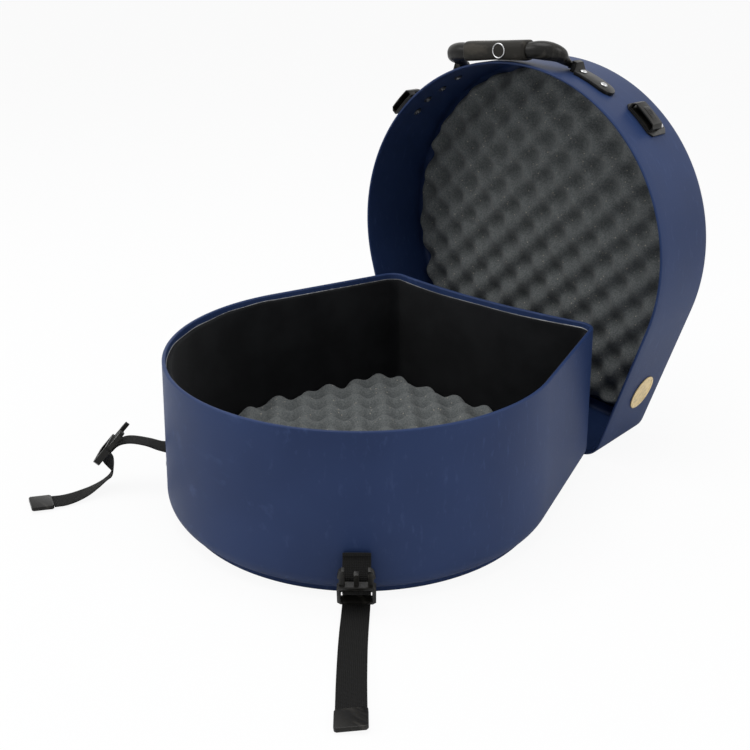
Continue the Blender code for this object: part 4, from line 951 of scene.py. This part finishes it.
# Body, edge offset, low and high level, way that the peaks point, placer, seed of the edge.
PADS = (
    ("base", -BASE_WALL - CLEAR - LINING_THICKNESS - BASE_PAD_GAP, BASE_PAD_LOW,
     BASE_WALL + BASE_PAD_THICKNESS, 1.0, upright, 4),
    ("lid", LID_OUTSET - LID_WALL - LID_PAD_GAP,
     LID_DEPTH - LID_WALL - LID_PANEL_HEIGHT - LID_PAD_LOW,
     LID_DEPTH - LID_WALL - LID_PAD_THICKNESS, -1.0, standing, 9),
)
for body, *sizes in PADS:
    pad = foam_pad(f"{body}_egg_crate_pad", *sizes)
    dress(pad, body, f"{body}_foam_pad")
    print(body, "foam pad:", len(pad.data.polygons), "faces")

# %% [markdown]
# ## Rivets and washers
# Blind rivets hold every fitting. Outside shows a low domed head, inside a washer and the
# formed tail. Each is a profile turned about its axis, so one short list of radii and heights
# draws it. The dome is a quarter ellipse, and a small dimple is left by the pulled pin.

# %% Rivets
HEAD_RADIUS, HEAD_HEIGHT, HEAD_EDGE, SHANK_RADIUS = 0.0042, 0.0018, 0.0003, 0.002
TAIL_RADIUS, TAIL_HEIGHT = 0.0032, 0.0013
DIMPLE_RADIUS, DIMPLE_DEPTH = 0.0008, 0.0005
WASHER_RADIUS, WASHER_THICKNESS, WASHER_EDGE = 0.0052, 0.0011, 0.0003


def rivet(name, matrix, head_at, washer_at, body):
    """Rivet and washer on the matrix's Z axis: head from head_at up, washer below washer_at."""
    washer_low = washer_at - WASHER_THICKNESS
    tail_top = washer_low - CLEAR
    tail_low = tail_top - TAIL_HEIGHT
    dimple_at = head_at + HEAD_HEIGHT - DIMPLE_DEPTH
    dome = np.radians(np.linspace(0, 78, 9))
    rise = head_at + HEAD_EDGE + (HEAD_HEIGHT - HEAD_EDGE) * np.sin(dome)
    profile = [(0.0004, tail_low), (TAIL_RADIUS * 0.8, tail_low),
               (TAIL_RADIUS, tail_top - TAIL_HEIGHT * 0.6), (TAIL_RADIUS, tail_top),
               (SHANK_RADIUS, tail_top), (SHANK_RADIUS, head_at), (HEAD_RADIUS * 0.97, head_at),
               *zip(HEAD_RADIUS * np.cos(dome), rise), (DIMPLE_RADIUS, dimple_at),
               (0.0002, dimple_at)]
    made = turned(name + "_domed", profile, matrix, BRIGHT_STEEL, sides=32)
    hole = SHANK_RADIUS + CLEAR
    hub = (WASHER_RADIUS - WASHER_EDGE, washer_at - WASHER_EDGE)
    edge = arc_points(hub, WASHER_EDGE, 180, 90, 4)
    profile = [(hole, washer_low), (hole, washer_at), *edge, (WASHER_RADIUS, washer_low)]
    # The washer gets the darker steel, painted shade for its place inside the wall.
    washer = turned(name + "_washer_disc", profile, matrix, SHADED_WASHER_STEEL, sides=32, angle=35.0,
                    ring=True)
    dress(made, body, name)
    dress(washer, body, name + "_washer")
    return made


BUCKLE_RIVET_AT, BUCKLE_RIVET_SPACING, BUCKLE_PLATE_THICKNESS = 0.0328, 0.024, 0.002
HANDLE_ANGLE, HANDLE_DEPTH, PLATE_THICKNESS = -4.4, 0.041, 0.0038
PLATE_RIVETS_AT = {"a": 0.0902, "b": 0.1190}
rivets = []
for side, strap in STRAPS.items():
    anchor_step = math.degrees(ANCHOR_RIVET_SPACING / 2 / (RIM_RADIUS + BASE_FLARE))
    buckle_step = math.degrees(BUCKLE_RIVET_SPACING / 2 / LID_RADIUS)
    for letter, sign in (("a", -1), ("b", 1)):
        spot = base_frame(strap["angle"] + sign * anchor_step, ANCHOR_RIVET_HEIGHT)
        rivets.append(rivet(f"{side}_anchor_rivet_{letter}", spot, WEBBING_THICKNESS + 2 * CLEAR,
                            -BASE_WALL - 0.0005, "base"))
        spot = lid_frame(strap["buckle_angle"] + sign * buckle_step,
                         strap["buckle_mouth"] + BUCKLE_RIVET_AT)
        rivets.append(rivet(f"{side}_buckle_rivet_{letter}", spot,
                            BUCKLE_PLATE_THICKNESS + 2 * CLEAR, -LID_WALL - CLEAR, "lid"))
for side, sign in (("left", -1), ("right", 1)):
    for letter, at in PLATE_RIVETS_AT.items():
        spot = lid_frame(HANDLE_ANGLE + sign * math.degrees(at / LID_RADIUS), HANDLE_DEPTH)
        rivets.append(rivet(f"{side}_handle_rivet_{letter}", spot, PLATE_THICKNESS + 2 * CLEAR,
                            -LID_WALL - CLEAR, "lid"))
print("rivets:", len(rivets))

# %% [markdown]
# ## The female buckle halves
# Each sits on a thin plate that is riveted to the lid's wall, with its mouth towards the rim.
# The solids are already hollow, with windows at the sides for the prongs, so rounded copies
# show them. A raised pad with ribs is moulded on top, where a thumb steadies the buckle.

# %% Female buckle halves
BUCKLE_TOP, THUMB_PAD_RISE, THUMB_PAD_RIB = 0.0121, 0.0011, 0.00018
THUMB_PAD_HALF_WIDTH, THUMB_PAD_HALF_LENGTH, THUMB_PAD_MIDDLE = 0.0090, 0.0060, 0.0115


def thumb_pad(name, angle, mouth):
    """A low pillow on the buckle's top: height is a flat dome with shallow cross ribs."""
    u, v = np.meshgrid(np.linspace(-1, 1, 33), np.linspace(-1, 1, 41), indexing="ij")
    dome = (1 - np.abs(u) ** 6) * (1 - np.abs(v) ** 6)
    ribs = THUMB_PAD_RIB * np.cos(5 * np.pi * v) * np.clip(1.3 - np.abs(u) * 1.5, 0, 1)
    y = mouth + THUMB_PAD_MIDDLE + THUMB_PAD_HALF_LENGTH * v
    z = BUCKLE_TOP - 0.0004 + (THUMB_PAD_RISE + ribs) * dome
    upper = np.stack([THUMB_PAD_HALF_WIDTH * u, y, z], axis=-1).reshape(-1, 3)
    index = np.arange(u.size).reshape(u.shape)
    edge = np.concatenate([index[0, :-1], index[:-1, -1], index[-1, :0:-1], index[:0:-1, 0]])
    foot = upper[edge]
    foot[:, 2] = BUCKLE_TOP - 0.0009
    below = u.size + np.arange(len(edge))
    faces = quads(*u.shape, False, False)
    faces += np.stack([edge, below, np.roll(below, -1), np.roll(edge, -1)], axis=1).tolist()
    faces.append(below[::-1].tolist())
    points = on_lid_wall(np.concatenate([upper, foot]), angle)
    return add_piece(name, points, faces, FITTING_BLACK, 50.0)


for side, strap in STRAPS.items():
    rounded_copy(f"{side}_buckle_back_plate", f"{side}_buckle_plate", 0.0006, "lid")
    rounded_copy(f"{side}_buckle_socket", f"{side}_female_buckle", 0.0007, "lid")
    pad = thumb_pad(f"{side}_buckle_thumb_pad", strap["buckle_angle"], strap["buckle_mouth"])
    dress(pad, "lid")
print("thumb pads rise by mm:", 1000 * THUMB_PAD_RISE)

# %% [markdown]
# ## The handle
# A bail handle swings on two pins. Its core is one moulding that is thinnest at the neck and
# thick at the elbows, and a soft sleeve covers the middle. The core is a tube with a changing
# oval section along a smooth line, mirrored about the middle. The sleeve is a rounder box
# section that closes onto the core at both ends.

# %% Handle core and pins
HANDLE_PIVOT_UP = -0.0072
# One half from the middle to a pin: (across, deeper, out, half depth, half height).
HANDLE_HALF = (
    (0.0, -0.036, 0.0117, 0.0085, 0.007), (0.03, -0.036, 0.0112, 0.0088, 0.0075),
    (0.043, -0.0354, 0.011, 0.0096, 0.0088), (0.0545, -0.0336, 0.0108, 0.0106, 0.01),
    (0.0652, -0.0288, 0.0088, 0.0108, 0.01), (0.0712, -0.0208, 0.0048, 0.0088, 0.0084),
    (0.0714, -0.0112, -0.0008, 0.0056, 0.0058), (0.0724, -0.0032, -0.0055, 0.0036, 0.0038),
    (0.0728, -0.0002, -0.0073, 0.0028, 0.0028),
)
# A pin as (radius, way along the axis from the handle's middle).
PIN_PROFILE = (
    (0.0002, 0.0706), (0.0034, 0.0706), (0.0040, 0.0712), (0.0040, 0.0750), (0.0034, 0.0756),
    (0.0022, 0.0756), (0.0022, 0.0812), (0.0019, 0.0815), (0.0002, 0.0815),
)

handle_matrix = lid_frame(HANDLE_ANGLE, HANDLE_DEPTH)
right_half = smooth_curve(np.array(HANDLE_HALF), 10)
rows = np.concatenate([right_half[:0:-1] * (-1, 1, 1, 1, 1), right_half])
tangents = unit(np.gradient(rows[:, :3], axis=0))
sides = unit(np.cross(tangents, UP))
ups = np.cross(sides, tangents)
section = superellipse(rows[:, 3], rows[:, 4], 2.4, 36)
grid = rows[:, None, :3] + section[..., :1] * sides[:, None] + section[..., 1:] * ups[:, None]
core = skin("handle_bail", place(grid, handle_matrix), FITTING_BLACK, angle=60.0)
dress(core, "handle", "handle_core")
axis_matrix = handle_matrix @ Matrix.Translation((0, 0, HANDLE_PIVOT_UP))
for side, quarter_turn in (("left", -90), ("right", 90)):
    matrix = axis_matrix @ Matrix.Rotation(math.radians(quarter_turn), 4, "Y")
    pin = turned(f"{side}_handle_pivot_pin", PIN_PROFILE, matrix, FITTING_BLACK, sides=28)
    dress(pin, "handle")
print("handle is mm across:", round(2000 * HANDLE_HALF[-1][0]))

# %% [markdown]
# The sleeve follows the core's line. Its rows are close together near its ends, where it
# shrinks by a power of the distance left, and it is a little thinner in the middle.

# %% Soft grip
GRIP_HALF_LENGTH, GRIP_HEIGHT, GRIP_DEPTH = 0.042, 0.0215, 0.025
END_SHRINK, END_LENGTH, MIDDLE_SHRINK = 0.16, 0.0022, 0.03

fraction = np.concatenate([[0.0, 0.0004, 0.0012, 0.0022, 0.004], np.linspace(0.006, 0.5, 24)])
along = 2 * GRIP_HALF_LENGTH * np.concatenate([fraction, 1 - fraction[-2::-1]])
x = along - GRIP_HALF_LENGTH
from_end = np.minimum(along, 2 * GRIP_HALF_LENGTH - along)
shrink = 1 - END_SHRINK * np.clip(1 - from_end / END_LENGTH, 0, 1) ** 2.2
half_depth = GRIP_DEPTH / 2 * shrink
half_height = GRIP_HEIGHT / 2 * shrink
half_height *= 1 - MIDDLE_SHRINK * np.cos(np.pi * x / GRIP_HALF_LENGTH)
centre_y, centre_z = (np.interp(np.abs(x), right_half[:, 0], right_half[:, axis])
                      for axis in (1, 2))
section = superellipse(half_depth, half_height, 3.4, 56)
grid = np.stack([np.repeat(x[:, None], 56, axis=1), centre_y[:, None] + section[..., 0],
                 centre_z[:, None] + section[..., 1]], axis=-1)
grip = skin("handle_soft_grip", place(grid, handle_matrix), GRIP_RUBBER, angle=50.0)
dress(grip, "handle", "handle_grip")
print("grip rows:", len(grid))

# %% [markdown]
# A thin bright ring is set in the front of the grip, off its middle, round a plain disc. It
# is turned about an axis that points out of the grip's front. The two plates that hold the
# pins are bent to the lid's wall, and rounded copies of their solids show them.

# %% Ring on the grip, and the handle's plates
RING_AT, RING_RADIUS, DISC_RADIUS = 0.0095, 0.0085, 0.0073
_, grip_y, grip_z = HANDLE_HALF[0][:3]
face = Matrix.Translation((RING_AT, grip_y - GRIP_DEPTH / 2 + 0.0002, grip_z))
face = handle_matrix @ face @ Matrix.Rotation(math.radians(90), 4, "X")
disc_profile = [(0.0003, -0.0004), (DISC_RADIUS, -0.0004), (DISC_RADIUS, 0.0004),
                (0.005, 0.0007), (0.0003, 0.0008)]
disc = turned("grip_inset_disc", disc_profile, face, GRIP_RUBBER)
dress(disc, "handle")
swing = around(10)
ring_profile = np.stack([RING_RADIUS - 0.0008 + 0.0007 * np.cos(swing),
                         0.0006 + 0.0009 * np.sin(swing)], axis=1)
ring = turned("grip_inset_ring", ring_profile, face, BRIGHT_STEEL, sides=56, angle=60.0, ring=True)
dress(ring, "handle", "handle_medallion")
for side in ("left", "right"):
    rounded_copy(f"{side}_handle_bracket", f"{side}_handle_plate", 0.0008, "lid")
print("ring radius in mm:", 1000 * RING_RADIUS)

# %% [markdown]
# ## The badge
# A round badge is fixed to the flat of the lid's right side. It is left plain here: a raised
# rim round a slightly sunk face with fine turned rings, which catch the light as a spun disc
# does. The face's height is a small cosine of the radius.

# %% Badge
BADGE_RADIUS, BADGE_THICKNESS, BADGE_HEIGHT, BADGE_DEPTH = 0.0218, 0.0015, 0.0745, 0.059
TURNED_RING_HEIGHT, TURNED_RING_PITCH = 0.00004, 0.0016
out = Vector((math.cos(TOUCH), 0, -math.sin(TOUCH)))
along_side = Vector((math.sin(TOUCH), 0, math.cos(TOUCH)))
foot = Vector((0, LID_RIM_Y + BADGE_DEPTH, LID_CENTRE_Z)) + out * (LID_RADIUS + CLEAR)
middle = foot + along_side * ((BADGE_HEIGHT - foot.z) / along_side.z)
badge_matrix = axes_matrix(along_side, out.cross(along_side), out, middle)
radii = np.linspace(BADGE_RADIUS * 0.84, 0.0003, 40)
ripple = TURNED_RING_HEIGHT * np.cos(radii * 2 * np.pi / TURNED_RING_PITCH)
profile = [(0.0003, 0.0), (BADGE_RADIUS - 0.0003, 0.0), (BADGE_RADIUS, 0.0003),
           (BADGE_RADIUS, BADGE_THICKNESS * 0.8), (BADGE_RADIUS - 0.0004, BADGE_THICKNESS),
           (BADGE_RADIUS * 0.89, BADGE_THICKNESS), (BADGE_RADIUS * 0.86, BADGE_THICKNESS * 0.85),
           *zip(radii, BADGE_THICKNESS * 0.6 + ripple)]
badge = turned("round_badge", profile, badge_matrix, BADGE_GOLD, sides=72)
dress(badge, "lid", "side_badge")
print("badge centre:", [round(value, 4) for value in middle])

# %% [markdown]
# ## World and floor
# The case stands on a plain pale floor in soft studio light. The world is white only to the
# camera and in reflections, and gives an even fill otherwise. The floor keeps the shadow, but
# a camera sees it mixed with plain white, so it stays pale without more light on the case.

# %% World and floor
FILL_STRENGTH, FLOOR_WHITE_SHARE = 0.50, 0.92
FLOOR_RADII, FLOOR_SIDES, FLOOR_MIDDLE = np.array([0.4, 1.5, 5.0, 14.0]), 96, (0, 0.1, -0.0002)


def mix_shaders(tree, share, first, second, output):
    """Surface of the first shader, and of the second by its share."""
    mix = add_node(tree, "ShaderNodeMixShader", Fac=share)
    feed(tree, mix.inputs[1], first.outputs[0])
    feed(tree, mix.inputs[2], second.outputs[0])
    feed(tree, tree.nodes[output].inputs["Surface"], mix.outputs[0])


world = bpy.data.worlds.new("studio")
world.use_nodes = True
bpy.context.scene.world = world
tree = world.node_tree
tree.nodes.remove(tree.nodes["Background"])
ray = tree.nodes.new("ShaderNodeLightPath").outputs
seen = add_math(tree, "MAXIMUM", ray["Is Camera Ray"], ray["Is Glossy Ray"])
seen = add_math(tree, "MAXIMUM", seen, ray["Is Transmission Ray"])
fill = add_node(tree, "ShaderNodeBackground", Color=(0.96, 0.98, 1.0), Strength=FILL_STRENGTH)
white = add_node(tree, "ShaderNodeBackground", Color=WHITE, Strength=1.0)
mix_shaders(tree, seen, fill, white, "World Output")

material, tree, shader = start_material("pale_floor", Base_Color=(0.86, 0.86, 0.86), Roughness=0.9)
ray = tree.nodes.new("ShaderNodeLightPath").outputs
share = add_math(tree, "MULTIPLY", ray["Is Camera Ray"], FLOOR_WHITE_SHARE)
white = add_node(tree, "ShaderNodeEmission", Strength=1.0)
mix_shaders(tree, share, shader, white, "Material Output")

turn = around(FLOOR_SIDES)
disc = np.stack([np.outer(FLOOR_RADII, np.cos(turn)), np.outer(FLOOR_RADII, np.sin(turn)),
                 np.zeros((len(FLOOR_RADII), FLOOR_SIDES))], axis=-1)
points = np.vstack([[0, 0, 0], disc.reshape(-1, 3)]) + FLOOR_MIDDLE
faces = [[0, 1 + k, 1 + (k + 1) % FLOOR_SIDES] for k in range(FLOOR_SIDES)]
faces += (1 + np.array(quads(len(FLOOR_RADII), FLOOR_SIDES, False, True))).tolist()
floor = add_piece("studio_floor", points, faces, material)
print("floor faces:", len(faces))

# %% [markdown]
# ## Lamps
# Three soft round lamps are enough: one overhead, a weaker one from the front left, and one
# from behind on the right that draws the edge of the lid. Each is turned to its target.

# %% Lamps
# Name, place, target, power in watts and width.
LAMPS = (
    ("overhead", (-0.2, -0.3, 2.4), (0.0, 0.1, 0.1), 30.0, 1.8),
    ("front_left", (-1.6, -1.9, 1.5), (0.0, 0.1, 0.2), 16.0, 1.4),
    ("right_rim", (2.0, 0.7, 1.5), (0.1, 0.3, 0.2), 12.0, 1.2),
)
for name, spot, target, power, size in LAMPS:
    data = bpy.data.lights.new(name, "AREA")
    data.shape = "DISK"
    data.size = size
    data.energy = power
    lamp = bpy.data.objects.new(name, data)
    lamp.location = spot
    lamp.rotation_euler = (Vector(target) - Vector(spot)).to_track_quat("-Z", "Y").to_euler()
    bpy.context.scene.collection.objects.link(lamp)
print("lamps:", [row[0] for row in LAMPS])

# %% [markdown]
# ## Finish
# The dressed object must fill the same space as the solids. The last line updates the view
# layer.

# %% Finish
bpy.context.view_layer.update()
